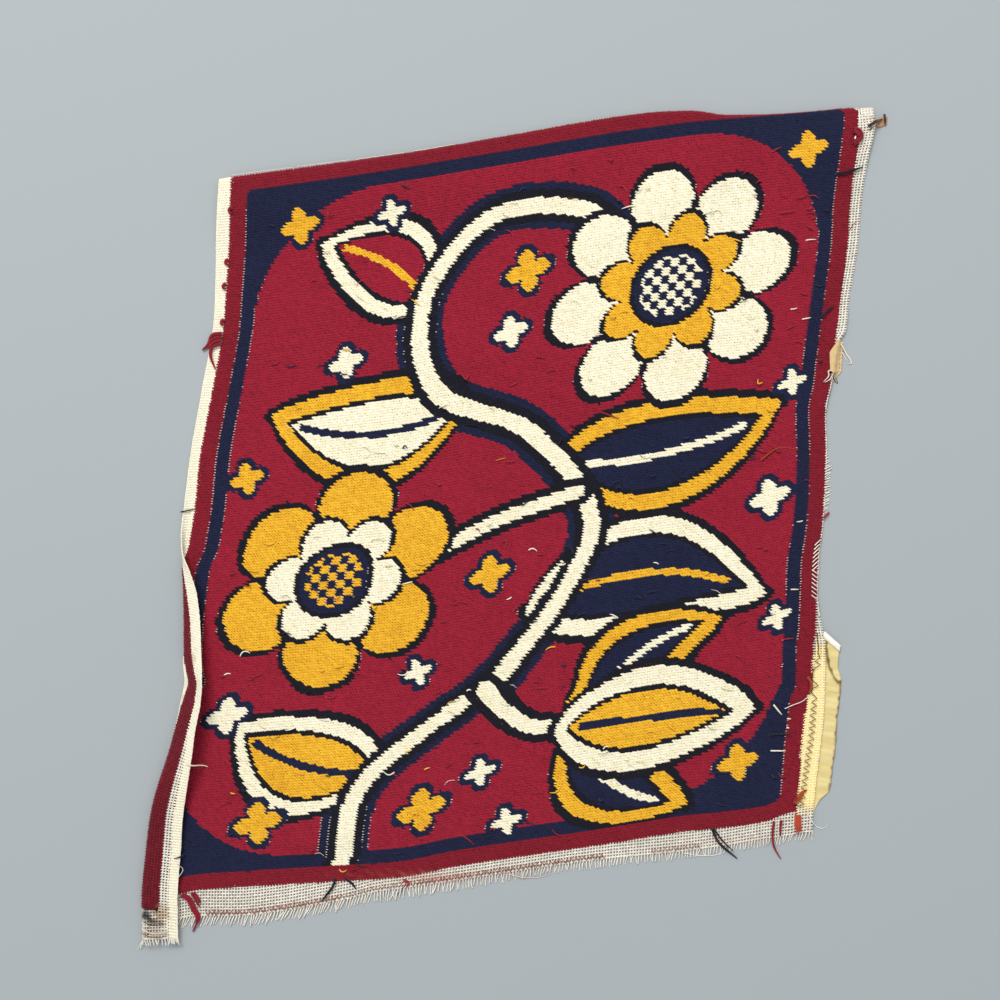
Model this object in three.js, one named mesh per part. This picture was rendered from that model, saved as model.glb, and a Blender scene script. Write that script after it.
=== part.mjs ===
// Needlepoint tapestry, lying reverse side up with one margin turned under and one folded over.
//
// Units are millimetres and +Z is up. The tapestry lies on the plane z = 0.
// The cloth is described in its plan as if unfolded: x runs to the right and y to the top edge.
// Two folds then bend it: the top margin turns under the work, and the lower left margin turns
// up and over it. Every solid shares these functions, so the pieces keep to each other.

import * as THREE from 'three';

// Driving dimensions

const MESH_PITCH = 1.95; // canvas thread to canvas thread, 13 threads to the inch
const WORKED_THICKNESS = 2.2; // canvas with wool on both faces
const CANVAS_THICKNESS = 1.2; // bare canvas of the margins
const WOOL_STEP = 1.0; // half width of the step from bare canvas up to the wool
const HEM_DEPTH = 16; // canvas turned under at the top
const HEM_RADIUS = 1.5; // of the turned edge, at the middle of the cloth
const HEM_RELIEF = 36; // how far from the hem's end the cloth settles onto the floor
const LIP_BEND = 3; // half the length over which the selvedge bends upright on the folded margin
const LEAST_BEND = 3; // shortest stretch of cloth that a fold takes up
const CURL_STEPS = 24; // straight steps that follow a fold
const TAPE_RAMP = 8; // over which the cloth climbs onto a tape
const TAPE_THICKNESS = 1;
const PIECE_GAP = 0.35; // between pieces that lie against each other
const FRAY_BACKING = 1.2; // width of the strip that holds the loose thread ends
const FRAY_THICKNESS = 0.8;
const THREAD_WIDTH = 0.8;
const TIP_SWING = 0.16; // how far the loose ends sway to one side, as a slope

// Tables, each with a name for every column and a row for each section

function table(columns, rows) {
  const values = {};
  columns.forEach((name, k) => {
    values[name] = rows.map((row) => row[k]);
  });
  return { at: values[columns[0]], values };
}

// The left side from the top down. fold: where the outline lies. turn: how far the margin is
// folded over, in degrees. red: worked border that goes past the fold (negative where the
// border ends before it). lip: how much the selvedge stands back up, in degrees.
const LEFT = table(
  ['y', 'fold', 'turn', 'radius', 'red', 'margin', 'lip'],
  [
    [-284, -229.0, 180, 2.0, 15.8, 11.5, 0],
    [-256, -229.2, 180, 2.0, 15.8, 11.5, 0],
    [-224, -226.5, 180, 2.0, 15.2, 11.4, 0],
    [-200, -223.4, 176, 2.1, 14.7, 11.0, 0],
    [-184, -219.4, 168, 2.2, 14.8, 10.5, 3],
    [-160, -211.6, 154, 2.3, 15.0, 9.4, 10],
    [-144, -207.2, 150, 2.4, 15.3, 8.5, 18],
    [-131, -203.4, 148, 2.4, 15.3, 8.3, 22],
    [-123, -200.9, 146, 2.4, 14.2, 8.2, 24],
    [-116.5, -198.8, 144, 2.4, 12.6, 8.2, 24],
    [-109, -200.2, 145, 2.4, 12.2, 8.2, 12],
    [-96, -201.9, 147, 2.4, 11.6, 8.2, 0],
    [-80, -201.9, 148, 2.3, 10.4, 8.2, 0],
    [-61, -202.3, 149, 2.2, 7.8, 8.1, 0],
    [-45, -203.0, 130, 2.2, 5.0, 8.0, 0],
    [-28, -203.2, 80, 2.4, -1.5, 8.0, 0],
    [0, -199.8, 20, 3.0, -3.6, 7.6, 0],
    [30, -195.3, 6, 3.0, -2.8, 6.8, 0],
    [70, -188.0, 0, 3.0, -3.4, 7.4, 0],
    [121, -179.8, 0, 3.0, -3.2, 7.2, 0],
    [171, -178.4, 0, 3.0, -5.0, 9.0, 0],
    [206, -176.3, 0, 3.0, -4.3, 8.3, 0],
    [262, -173.0, 0, 3.0, -4.3, 8.3, 0],
  ],
);

// The right side from the bottom up: where the wool ends, and the edge of the canvas.
const RIGHT = table(
  ['y', 'worked', 'edge'],
  [
    [-214, 187.0, 198.4],
    [-198, 187.8, 199.0],
    [-184, 189.5, 200.3],
    [-157, 191.5, 203.5],
    [-137, 193.8, 205.6],
    [-126, 195.2, 206.1],
    [-120, 198.4, 206.3],
    [-93, 199.0, 206.7],
    [-83, 200.5, 205.2],
    [-65, 201.0, 202.4],
    [-39, 201.6, 202.8],
    [-19, 204.2, 205.3],
    [5, 206.1, 207.2],
    [31, 206.8, 208.0],
    [57, 206.2, 207.4],
    [75, 209.6, 211.0],
    [88, 211.0, 212.4],
    [100, 212.6, 214.8],
    [108, 213.6, 219.6],
    [131, 216.7, 222.7],
    [166, 221.0, 228.2],
    [187, 222.1, 229.8],
    [216, 225.5, 233.6],
    [244, 228.5, 238.7],
    [262, 228.0, 238.8],
  ],
);

// The top from left to right: the turned edge, and where the wool ends. Past x = 90 the turned
// edge cuts into the worked border.
const TOP = table(
  ['x', 'fold', 'worked'],
  [
    [-182, 204.6, 205.0],
    [-172, 206.1, 206.0],
    [-102, 215.0, 215.6],
    [-57, 221.4, 222.6],
    [0, 231.3, 232.0],
    [77, 244.5, 245.0],
    [103, 247.2, 248.5],
    [122, 247.7, 251.0],
    [142, 245.1, 252.6],
    [166, 245.3, 254.6],
    [189, 246.6, 256.5],
    [225, 249.6, 260.0],
    [240, 250.0, 262.0],
  ],
);

// The bottom from left to right: where the wool ends, and the cut edge of the canvas.
const BOTTOM = table(
  ['x', 'worked', 'cut'],
  [
    [-257, -264.0, -279.0],
    [-229, -259.6, -280.0],
    [-217, -255.0, -274.0],
    [-208, -252.0, -268.0],
    [-190, -248.7, -266.0],
    [-171, -247.5, -266.0],
    [-141, -245.6, -263.0],
    [-119, -244.4, -259.0],
    [-95, -243.0, -254.4],
    [-80, -242.2, -250.6],
    [-63, -240.8, -248.3],
    [-32, -234.6, -243.8],
    [64, -220.2, -229.8],
    [90, -216.0, -227.2],
    [116, -211.9, -224.6],
    [136, -210.0, -222.0],
    [166, -206.0, -217.0],
    [188, -198.5, -213.6],
    [199, -197.0, -210.6],
  ],
);

// Soft swells that lift the cloth off the floor: centre, half lengths, turn in degrees, height.
const SWELLS = [
  { x: -172, y: -96, long: 92, wide: 40, turn: 98, height: 2.6 },
  { x: 186, y: 4, long: 96, wide: 20, turn: 94, height: 4.2 },
  { x: 104, y: 190, long: 84, wide: 34, turn: 24, height: 2.4 },
  { x: -20, y: 92, long: 120, wide: 30, turn: 160, height: 1.8 },
  { x: -98, y: -212, long: 56, wide: 20, turn: 12, height: 1.6 },
];

// Places where the edge rides over tape that lies under it.
const OVER_TAPE = [
  { from: -208, to: -68, inset: 1 },
  { from: 60, to: 116, inset: 1 },
];

// The lower tape from its bottom up: its two sides.
const LOWER_TAPE = table(
  ['y', 'left', 'right'],
  [
    [-200, 189.6, 199.2],
    [-191.5, 189.9, 203.6],
    [-186, 190.2, 209.4],
    [-170, 191.6, 211.8],
    [-154, 192.8, 213.8],
    [-141, 195.4, 214.4],
    [-126, 198.0, 216.3],
    [-116, 198.7, 217.0],
    [-106, 199.0, 215.0],
    [-93, 199.9, 216.4],
  ],
);
const TAPE_CORNER = { x: 209.2, reach: 7.2, rise: 7.8, fold: 6.6, height: 1.1, soften: 1.5 };

// The middle remnant from its bottom up.
const MIDDLE_TAPE = table(
  ['y', 'left', 'right'],
  [
    [75.5, 210.4, 211.9],
    [79, 210.7, 214.2],
    [82, 211.0, 217.0],
    [92, 212.0, 217.8],
    [101, 213.3, 218.1],
  ],
);

// The corner scrap is a torn shred with five corners.
const CORNER_SCRAP = [
  [239.3, 238.9],
  [241.3, 238.1],
  [246.4, 240.0],
  [246.7, 245.1],
  [239.4, 241.8],
];

// Small mathematics

const radians = (degrees) => (degrees * Math.PI) / 180;

function smooth(from, to, value) {
  const t = Math.min(1, Math.max(0, (value - from) / (to - from)));
  return t * t * (3 - 2 * t);
}

// A smooth curve through a table's column that never overshoots its points.
function along(data, column, at) {
  const xs = data.at;
  const ys = data.values[column];
  const last = xs.length - 1;
  if (at <= xs[0]) return ys[0];
  if (at >= xs[last]) return ys[last];
  let k = 0;
  while (at > xs[k + 1]) k += 1;
  const slope = (n) => (ys[n + 1] - ys[n]) / (xs[n + 1] - xs[n]);
  const tangent = (n) => {
    if (n === 0) return slope(0);
    if (n === last) return slope(last - 1);
    const before = slope(n - 1);
    const after = slope(n);
    return before * after <= 0 ? 0 : (2 * before * after) / (before + after);
  };
  const step = xs[k + 1] - xs[k];
  const t = (at - xs[k]) / step;
  const u = 1 - t;
  return (
    ys[k] * (1 + 2 * t) * u * u +
    ys[k + 1] * (3 - 2 * t) * t * t +
    step * (tangent(k) * t * u * u - tangent(k + 1) * u * t * t)
  );
}

// The cloth, unfolded

// One section of the left side: where it leaves the floor, and how it curls from there.
function leftSection(y) {
  const turn = radians(along(LEFT, 'turn', y));
  const radius = along(LEFT, 'radius', y);
  const tangent = along(LEFT, 'fold', y) + radius * Math.sin(Math.min(turn, Math.PI / 2));
  const red = along(LEFT, 'red', y);
  const margin = along(LEFT, 'margin', y);
  return {
    tangent,
    turn,
    worked: tangent - red,
    edge: tangent - red - margin,
    bend: Math.max(LEAST_BEND, radius * turn),
    red,
    lip: radians(along(LEFT, 'lip', y)),
  };
}

const hemLine = (x) => along(TOP, 'fold', x) - HEM_RADIUS;

// How thick the cloth is: wool inside the worked edges, bare canvas outside them.
function thickness(x, y) {
  const inside = Math.min(
    x - leftSection(y).worked,
    along(RIGHT, 'worked', y) - x,
    y - along(BOTTOM, 'worked', x),
    along(TOP, 'worked', x) - y,
  );
  const wool = smooth(-WOOL_STEP, WOOL_STEP, inside);
  return CANVAS_THICKNESS + (WORKED_THICKNESS - CANVAS_THICKNESS) * wool;
}

// How far the underside stands off the floor.
function lift(x, y) {
  const belowHem = hemLine(x) - y;
  let height = 2 * HEM_RADIUS * (1 - smooth(HEM_DEPTH, HEM_DEPTH + HEM_RELIEF, belowHem));
  for (const swell of SWELLS) {
    const angle = radians(swell.turn);
    const dx = x - swell.x;
    const dy = y - swell.y;
    const a = (dx * Math.cos(angle) + dy * Math.sin(angle)) / swell.long;
    const b = (dy * Math.cos(angle) - dx * Math.sin(angle)) / swell.wide;
    height += swell.height * (1 - smooth(0, 1, Math.hypot(a, b)));
  }
  const ride = TAPE_THICKNESS + PIECE_GAP;
  for (const zone of OVER_TAPE) {
    const near = smooth(-TAPE_RAMP, -zone.inset, x - along(RIGHT, 'worked', y));
    const above = smooth(zone.from - TAPE_RAMP, zone.from, y);
    const below = 1 - smooth(zone.to, zone.to + TAPE_RAMP, y);
    height = Math.max(height, ride * near * above * below);
  }
  return height;
}

// Follows a bent profile for a distance. heading is the angle turned at each point of the way.
function walk(distance, heading) {
  const step = distance / CURL_STEPS;
  let out = 0;
  let up = 0;
  for (let k = 0; k < CURL_STEPS; k += 1) {
    const angle = heading((k + 0.5) * step);
    out += Math.cos(angle) * step;
    up += Math.sin(angle) * step;
  }
  return { out, up };
}

// The middle of the cloth in space, for a point of the unfolded plan.
function middle(x, y) {
  const section = leftSection(y);
  const pastLeft = Math.max(0, section.tangent - x);
  const pastTop = Math.max(0, y - hemLine(x));
  const flatX = x + pastLeft;
  const flatY = y - pastTop;
  const base = lift(flatX, flatY) + thickness(flatX, flatY) / 2;
  const point = new THREE.Vector3(flatX, flatY, base);
  if (pastLeft > 0) {
    const curl = walk(pastLeft, (d) => {
      const over = section.turn * Math.min(1, d / section.bend);
      return over - section.lip * smooth(section.red - LIP_BEND, section.red + LIP_BEND, d);
    });
    point.x -= curl.out;
    point.z += curl.up;
  }
  if (pastTop > 0) {
    const hem = walk(pastTop, (d) => Math.PI * Math.min(1, d / (Math.PI * HEM_RADIUS)));
    point.y += hem.out;
    point.z -= hem.up;
  }
  return point;
}

// The two faces of the cloth at a point: half the thickness along the normal each way.
function faces(x, y) {
  const small = 0.2;
  const across = middle(x + small, y).sub(middle(x - small, y));
  const upward = middle(x, y + small).sub(middle(x, y - small));
  const normal = across.cross(upward).normalize();
  const half = thickness(x, y) / 2;
  const centre = middle(x, y);
  return [
    centre.clone().addScaledVector(normal, half),
    centre.clone().addScaledVector(normal, -half),
  ];
}

// Solids

// Closes two grids of points, the upper and the lower face of a sheet, into one body.
// pair(i, j) gives both points, with i to the right and j upwards.
function closeSheet(columns, rows, pair) {
  const positions = [];
  const index = [];
  const stride = columns + 1;
  const count = stride * (rows + 1);
  const upper = [];
  const lower = [];
  for (let j = 0; j <= rows; j += 1) {
    for (let i = 0; i <= columns; i += 1) {
      const [high, low] = pair(i, j);
      upper.push(high);
      lower.push(low);
    }
  }
  for (const p of [...upper, ...lower]) positions.push(p.x, p.y, p.z);
  const quad = (a, b, c, d) => index.push(a, b, c, a, c, d);
  const at = (i, j) => j * stride + i;
  for (let j = 0; j < rows; j += 1) {
    for (let i = 0; i < columns; i += 1) {
      const a = at(i, j);
      const b = at(i + 1, j);
      const c = at(i + 1, j + 1);
      const d = at(i, j + 1);
      quad(a, b, c, d);
      quad(count + d, count + c, count + b, count + a);
    }
  }
  for (let i = 0; i < columns; i += 1) {
    quad(count + at(i, 0), count + at(i + 1, 0), at(i + 1, 0), at(i, 0));
    quad(at(i, rows), at(i + 1, rows), count + at(i + 1, rows), count + at(i, rows));
  }
  for (let j = 0; j < rows; j += 1) {
    quad(at(0, j), at(0, j + 1), count + at(0, j + 1), count + at(0, j));
    quad(count + at(columns, j), count + at(columns, j + 1), at(columns, j + 1), at(columns, j));
  }
  const geometry = new THREE.BufferGeometry();
  geometry.setAttribute('position', new THREE.Float32BufferAttribute(positions, 3));
  geometry.setIndex(index);
  geometry.computeVertexNormals();
  return geometry;
}

// Fractions 0 to 1 in equal steps, for one stretch of a grid.
const steps = (count) => Array.from({ length: count }, (_, k) => (k + 1) / count);
const mix = (a, b, t) => a + (b - a) * t;

// Columns of the cloth from its left edge to its right, as functions of the height y. The
// fold has columns of its own, so that it stays round all the way down.
const CLOTH_COLUMNS = [
  (y) => leftSection(y).edge,
  ...steps(4).map((t) => (y) => {
    const section = leftSection(y);
    return mix(section.edge, section.tangent - section.bend, t);
  }),
  ...steps(6).map((t) => (y) => {
    const section = leftSection(y);
    return mix(section.tangent - section.bend, section.tangent, t);
  }),
  ...steps(24).map((t) => (y) => {
    return mix(leftSection(y).tangent, along(RIGHT, 'worked', y) - WOOL_STEP, t);
  }),
  (y) => along(RIGHT, 'worked', y),
  (y) => mix(along(RIGHT, 'worked', y), along(RIGHT, 'edge', y), 0.5),
  (y) => along(RIGHT, 'edge', y),
];

// Rows of the cloth from its bottom edge to the end of the hem, as functions of x.
const CLOTH_ROWS = [
  (x) => along(BOTTOM, 'cut', x),
  (x) => mix(along(BOTTOM, 'cut', x), along(BOTTOM, 'worked', x), 0.5),
  (x) => along(BOTTOM, 'worked', x) - WOOL_STEP,
  (x) => along(BOTTOM, 'worked', x) + WOOL_STEP,
  ...steps(32).map((t) => (x) => mix(along(BOTTOM, 'worked', x) + WOOL_STEP, hemLine(x), t)),
  ...steps(5).map((t) => (x) => hemLine(x) + Math.PI * HEM_RADIUS * t),
  ...steps(2).map((t) => (x) => hemLine(x) + mix(Math.PI * HEM_RADIUS, HEM_DEPTH, t)),
];

// The point where a column and a row of the plan cross.
function crossing(column, row) {
  let x = 0;
  let y = 0;
  for (let k = 0; k < 6; k += 1) {
    y = row(x);
    x = column(y);
  }
  return [x, y];
}

function workedCanvas() {
  return closeSheet(CLOTH_COLUMNS.length - 1, CLOTH_ROWS.length - 1, (i, j) => {
    const [x, y] = crossing(CLOTH_COLUMNS[i], CLOTH_ROWS[j]);
    return faces(x, y);
  });
}

// A point of a tape between its two sides, for fractions of its width and of its length.
function onTape(data, across, up) {
  const y = mix(data.at[0], data.at[data.at.length - 1], up);
  return { x: mix(along(data, 'left', y), along(data, 'right', y), across), y };
}

function middleTape() {
  const columns = 3;
  const rows = 8;
  return closeSheet(columns, rows, (i, j) => {
    const { x, y } = onTape(MIDDLE_TAPE, i / columns, j / rows);
    return [new THREE.Vector3(x, y, TAPE_THICKNESS), new THREE.Vector3(x, y, 0)];
  });
}

// The lower tape ends in a slanted top, whose corner is turned over and pressed flat.
function lowerTape() {
  const columns = 9;
  const rows = 16;
  const { x: cornerX, reach, rise, fold, soften } = TAPE_CORNER;
  const high = LOWER_TAPE.at[LOWER_TAPE.at.length - 1];
  return closeSheet(columns, rows, (i, j) => {
    const { x, y: straight } = onTape(LOWER_TAPE, i / columns, j / rows);
    const open = smooth(cornerX - soften, cornerX, x);
    const slant = rise * (1 - Math.max(0, x - cornerX) / reach) * open;
    const y = straight + slant * smooth(0.75, 1, j / rows);
    const turned = open * smooth(-fold, soften - fold, y - (high + slant));
    return [
      new THREE.Vector3(x, y, TAPE_THICKNESS + TAPE_CORNER.height * turned),
      new THREE.Vector3(x, y, 0),
    ];
  });
}

function cornerScrap() {
  const shape = new THREE.Shape(CORNER_SCRAP.map(([x, y]) => new THREE.Vector2(x, y)));
  return new THREE.ExtrudeGeometry(shape, { depth: TAPE_THICKNESS, bevelEnabled: false });
}

// A flat plate from points of its plan and the triangles between them.
function plate(points, triangles, base, height) {
  const area = ([a, b, c]) => {
    const side = points[b].clone().sub(points[a]);
    return side.cross(points[c].clone().sub(points[a]));
  };
  const facing = triangles.map((t) => (area(t) > 0 ? t : [t[0], t[2], t[1]]));
  const rim = new Map();
  for (const t of facing) {
    t.forEach((from, k) => {
      const to = t[(k + 1) % 3];
      if (!rim.delete(`${to} ${from}`)) rim.set(`${from} ${to}`, [from, to]);
    });
  }
  const count = points.length;
  const index = facing.flatMap(([a, b, c]) => [a, b, c, count + c, count + b, count + a]);
  for (const [from, to] of rim.values()) {
    index.push(count + from, count + to, to, count + from, to, from);
  }
  const levels = [base + height, base];
  const positions = levels.flatMap((z) => points.flatMap((p) => [p.x, p.y, z]));
  const geometry = new THREE.BufferGeometry();
  geometry.setAttribute('position', new THREE.Float32BufferAttribute(positions, 3));
  geometry.setIndex(index);
  geometry.computeVertexNormals();
  return geometry;
}

// Loose thread ends along an edge. edge(s) is a point of it and away(s) the way the ends
// point, for a distance s along it. The roots are fused in a narrow strip.
function fray({ length, edge, away, reach, base }) {
  const count = Math.floor(length / MESH_PITCH);
  const strip = PIECE_GAP + FRAY_BACKING;
  const points = [];
  const triangles = [];
  const place = (s, distance, shift = 0) => {
    const out = away(s);
    const forward = new THREE.Vector2(-out.y, out.x);
    if (forward.dot(edge(s + 0.5).sub(edge(s - 0.5))) < 0) forward.negate();
    return edge(s).addScaledVector(out, distance).addScaledVector(forward, shift);
  };
  for (let k = 0; k < count; k += 1) {
    const s = (k + 0.5) * MESH_PITCH;
    const half = THREAD_WIDTH / 2;
    const far = strip + reach(s) * (0.82 + 0.18 * Math.sin(k * 2.3));
    const lean = TIP_SWING * (0.8 * Math.sin(k * 0.31) + 0.2 * Math.sin(k * 1.9));
    const sway = lean * (far - strip);
    points.push(
      place(s - MESH_PITCH / 2, PIECE_GAP),
      place(s, strip, -half),
      place(s, strip, half),
      place(s, far, sway - half),
      place(s, far, sway + half),
    );
    const [inner, first, last, firstTip, lastTip, nextInner, nextFirst] = [0, 1, 2, 3, 4, 5, 6].map(
      (n) => k * 5 + n,
    );
    const ends = k === count - 1;
    triangles.push([inner, first, last], [first, firstTip, lastTip], [first, lastTip, last]);
    triangles.push([inner, last, nextInner]);
    if (!ends) triangles.push([nextInner, last, nextFirst]);
  }
  points.push(place(count * MESH_PITCH, PIECE_GAP));
  return plate(points, triangles, base, FRAY_THICKNESS);
}

// Walks along a chain of points, such as the cut edge of the cloth as it is built.
function edgeWalker(places) {
  const gone = [0];
  for (let k = 1; k < places.length; k += 1) {
    gone.push(gone[k - 1] + places[k - 1].distanceTo(places[k]));
  }
  const at = (s) => {
    let k = 0;
    while (k < places.length - 2 && gone[k + 1] < s) k += 1;
    const t = (s - gone[k]) / (gone[k + 1] - gone[k]);
    return places[k].clone().lerp(places[k + 1], t);
  };
  return { at, length: gone[gone.length - 1] };
}

function cutEdge(columns, rows, keep) {
  const chain = columns.flatMap((column) => rows.map((row) => crossing(column, row)));
  return chain.map(([x, y]) => new THREE.Vector2(x, y)).filter(keep);
}

function bottomFray() {
  const walker = edgeWalker(cutEdge(CLOTH_COLUMNS, [CLOTH_ROWS[0]], (p) => p.x > -212));
  return fray({
    length: walker.length,
    edge: walker.at,
    away: () => new THREE.Vector2(-0.06, -1).normalize(),
    reach: (s) => mix(5.6, 3.2, smooth(120, 260, s)),
    base: 0,
  });
}

// The folded margin's cut end lies over the rest, and its loose ends at the same height.
function flapFray() {
  const length = 18;
  const start = new THREE.Vector2(-226.5, -280.1);
  const end = new THREE.Vector2(start.x + length, -279.1);
  const atFlap = -250; // a place of the plan within the folded margin
  const [upper, lower] = faces(atFlap, along(BOTTOM, 'cut', atFlap));
  return fray({
    length,
    edge: (s) => start.clone().lerp(end, s / length),
    away: () => new THREE.Vector2(-0.05, -1).normalize(),
    reach: () => 4.4,
    base: (upper.z + lower.z - FRAY_THICKNESS) / 2,
  });
}

function rightFray() {
  const frayed = (p) => p.y > -85 && p.y < 50;
  const side = cutEdge([CLOTH_COLUMNS[CLOTH_COLUMNS.length - 1]], CLOTH_ROWS, frayed);
  const walker = edgeWalker(side.reverse());
  return fray({
    length: walker.length,
    edge: walker.at,
    away: () => new THREE.Vector2(1, 0.1).normalize(),
    reach: (s) => mix(2.0, 1.0, smooth(40, 70, s)),
    base: 0,
  });
}

// The object

const crimson = new THREE.MeshStandardMaterial({ color: 0x8f1d30, roughness: 0.92, metalness: 0 });
const yellow = new THREE.MeshStandardMaterial({ color: 0xe6d68c, roughness: 0.6, metalness: 0 });
const tan = new THREE.MeshStandardMaterial({ color: 0xdeb46e, roughness: 0.7, metalness: 0 });
const cream = new THREE.MeshStandardMaterial({ color: 0xf2ead6, roughness: 0.9, metalness: 0 });

const tapestry = new THREE.Group();

function add(name, geometry, material) {
  const mesh = new THREE.Mesh(geometry, material);
  mesh.name = name;
  tapestry.add(mesh);
}

add('worked_canvas', workedCanvas(), crimson);
add('lower_tape', lowerTape(), yellow);
add('middle_tape', middleTape(), tan);
add('corner_scrap', cornerScrap(), tan);
add('bottom_fray', bottomFray(), cream);
add('flap_fray', flapFray(), cream);
add('right_fray', rightFray(), cream);

// The origin is the middle of the footprint, on the floor.
const box = new THREE.Box3().setFromObject(tapestry);
const centre = box.getCenter(new THREE.Vector3());
tapestry.position.set(-centre.x, -centre.y, -box.min.z);
tapestry.updateMatrixWorld(true);

export default tapestry;
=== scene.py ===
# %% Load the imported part
import math

import bpy
import numpy as np
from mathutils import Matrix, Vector
from mathutils.bvhtree import BVHTree


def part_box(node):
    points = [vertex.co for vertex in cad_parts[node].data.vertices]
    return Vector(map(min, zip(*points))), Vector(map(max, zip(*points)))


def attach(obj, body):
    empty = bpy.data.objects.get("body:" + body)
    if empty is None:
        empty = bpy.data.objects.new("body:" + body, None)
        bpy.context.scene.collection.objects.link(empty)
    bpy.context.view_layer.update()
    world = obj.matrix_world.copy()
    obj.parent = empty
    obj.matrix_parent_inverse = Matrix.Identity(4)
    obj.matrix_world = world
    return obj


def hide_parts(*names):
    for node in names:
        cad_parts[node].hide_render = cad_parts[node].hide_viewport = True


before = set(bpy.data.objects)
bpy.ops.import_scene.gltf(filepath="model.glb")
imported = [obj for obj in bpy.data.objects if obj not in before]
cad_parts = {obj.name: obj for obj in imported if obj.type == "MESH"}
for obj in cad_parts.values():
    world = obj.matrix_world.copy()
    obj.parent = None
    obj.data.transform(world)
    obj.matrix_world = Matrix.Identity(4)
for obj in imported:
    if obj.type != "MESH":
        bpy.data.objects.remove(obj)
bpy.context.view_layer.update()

scene = bpy.context.scene

# %% [markdown]
# # A needlepoint tapestry, lying reverse side up
#
# Wool is worked over the threads of an open cotton canvas, one stitch to each crossing. What
# lies on top here is the back of the work, with its long slanting strands, knots and loose
# ends. The top margin is turned under, and the lower left margin is folded up and over, so
# that a strip of the neat front shows there.
#
# Everything is described flat, in counts of canvas threads, and is laid on the cloth last.
# That is how the maker counts too, and it keeps wool, canvas and folds together.

# %% [markdown]
# ## Helpers for colours and nodes
#
# Colours are easiest to pick as sRGB hex values, as in any paint program, but nodes work in
# linear light. One function turns the one into the other, so no colour is converted by hand.

# %% Colours and nodes
def linear(hex_colour):
    """An sRGB hex colour as linear red, green, blue and alpha."""
    parts = [int(hex_colour[k : k + 2], 16) / 255 for k in (1, 3, 5)]
    return [c / 12.92 if c <= 0.04045 else ((c + 0.055) / 1.055) ** 2.4 for c in parts] + [1.0]


def add(tree, kind, links=(), **settings):
    """Adds a node. links pairs a socket's identifier with a value or with another socket."""
    node = tree.nodes.new(kind)
    for name, value in settings.items():
        setattr(node, name, value)
    sockets = {socket.identifier: socket for socket in node.inputs}
    for identifier, value in dict(links).items():
        if isinstance(value, bpy.types.NodeSocket):
            tree.links.new(value, sockets[identifier])
        else:
            sockets[identifier].default_value = value
    return node


print("crimson in linear light:", [round(c, 3) for c in linear("#971F30")])

# %% [markdown]
# ## The cloth as a function
#
# The solid in the frame is a thick sheet with two folds and a few soft swells. The finer pieces
# have to lie on exactly the same sheet, so its rules are repeated here: short tables of where
# each side lies, and a function that bends a flat point into place. A copied mesh could be
# used with Shrinkwrap, but it couldn't say what is inside the fold. Sizes are millimetres.

# %% Sizes of the cloth
MESH_PITCH = 1.95  # canvas thread to canvas thread, 13 threads to the inch
WORKED_THICKNESS = 2.2
CANVAS_THICKNESS = 1.2
WOOL_STEP = 1.0
HEM_DEPTH = 16
HEM_RADIUS = 1.5
HEM_RELIEF = 36
LIP_BEND = 3
LEAST_BEND = 3
TAPE_THICKNESS = 1
PIECE_GAP = 0.35


def table(columns, rows):
    """A table as one array for each named column."""
    return dict(zip(columns.split(), np.array(rows, float).T))


LEFT = table(
    "y fold turn radius red margin lip",
    [
        (-284, -229.0, 180, 2.0, 15.8, 11.5, 0),
        (-256, -229.2, 180, 2.0, 15.8, 11.5, 0),
        (-224, -226.5, 180, 2.0, 15.2, 11.4, 0),
        (-200, -223.4, 176, 2.1, 14.7, 11.0, 0),
        (-184, -219.4, 168, 2.2, 14.8, 10.5, 3),
        (-160, -211.6, 154, 2.3, 15.0, 9.4, 10),
        (-144, -207.2, 150, 2.4, 15.3, 8.5, 18),
        (-131, -203.4, 148, 2.4, 15.3, 8.3, 22),
        (-123, -200.9, 146, 2.4, 14.2, 8.2, 24),
        (-116.5, -198.8, 144, 2.4, 12.6, 8.2, 24),
        (-109, -200.2, 145, 2.4, 12.2, 8.2, 12),
        (-96, -201.9, 147, 2.4, 11.6, 8.2, 0),
        (-80, -201.9, 148, 2.3, 10.4, 8.2, 0),
        (-61, -202.3, 149, 2.2, 7.8, 8.1, 0),
        (-45, -203.0, 130, 2.2, 5.0, 8.0, 0),
        (-28, -203.2, 80, 2.4, -1.5, 8.0, 0),
        (0, -199.8, 20, 3.0, -3.6, 7.6, 0),
        (30, -195.3, 6, 3.0, -2.8, 6.8, 0),
        (70, -188.0, 0, 3.0, -3.4, 7.4, 0),
        (121, -179.8, 0, 3.0, -3.2, 7.2, 0),
        (171, -178.4, 0, 3.0, -5.0, 9.0, 0),
        (206, -176.3, 0, 3.0, -4.3, 8.3, 0),
        (262, -173.0, 0, 3.0, -4.3, 8.3, 0),
    ],
)
RIGHT = table(
    "y worked edge",
    [
        (-214, 187.0, 198.4), (-198, 187.8, 199.0), (-184, 189.5, 200.3), (-157, 191.5, 203.5),
        (-137, 193.8, 205.6), (-126, 195.2, 206.1), (-120, 198.4, 206.3),
        (-93, 199.0, 206.7), (-83, 200.5, 205.2), (-65, 201.0, 202.4),
        (-39, 201.6, 202.8), (-19, 204.2, 205.3), (5, 206.1, 207.2), (31, 206.8, 208.0),
        (57, 206.2, 207.4), (75, 209.6, 211.0), (88, 211.0, 212.4), (100, 212.6, 214.8),
        (108, 213.6, 219.6), (131, 216.7, 222.7), (166, 221.0, 228.2), (187, 222.1, 229.8),
        (216, 225.5, 233.6), (244, 228.5, 238.7), (262, 228.0, 238.8),
    ],
)
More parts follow.
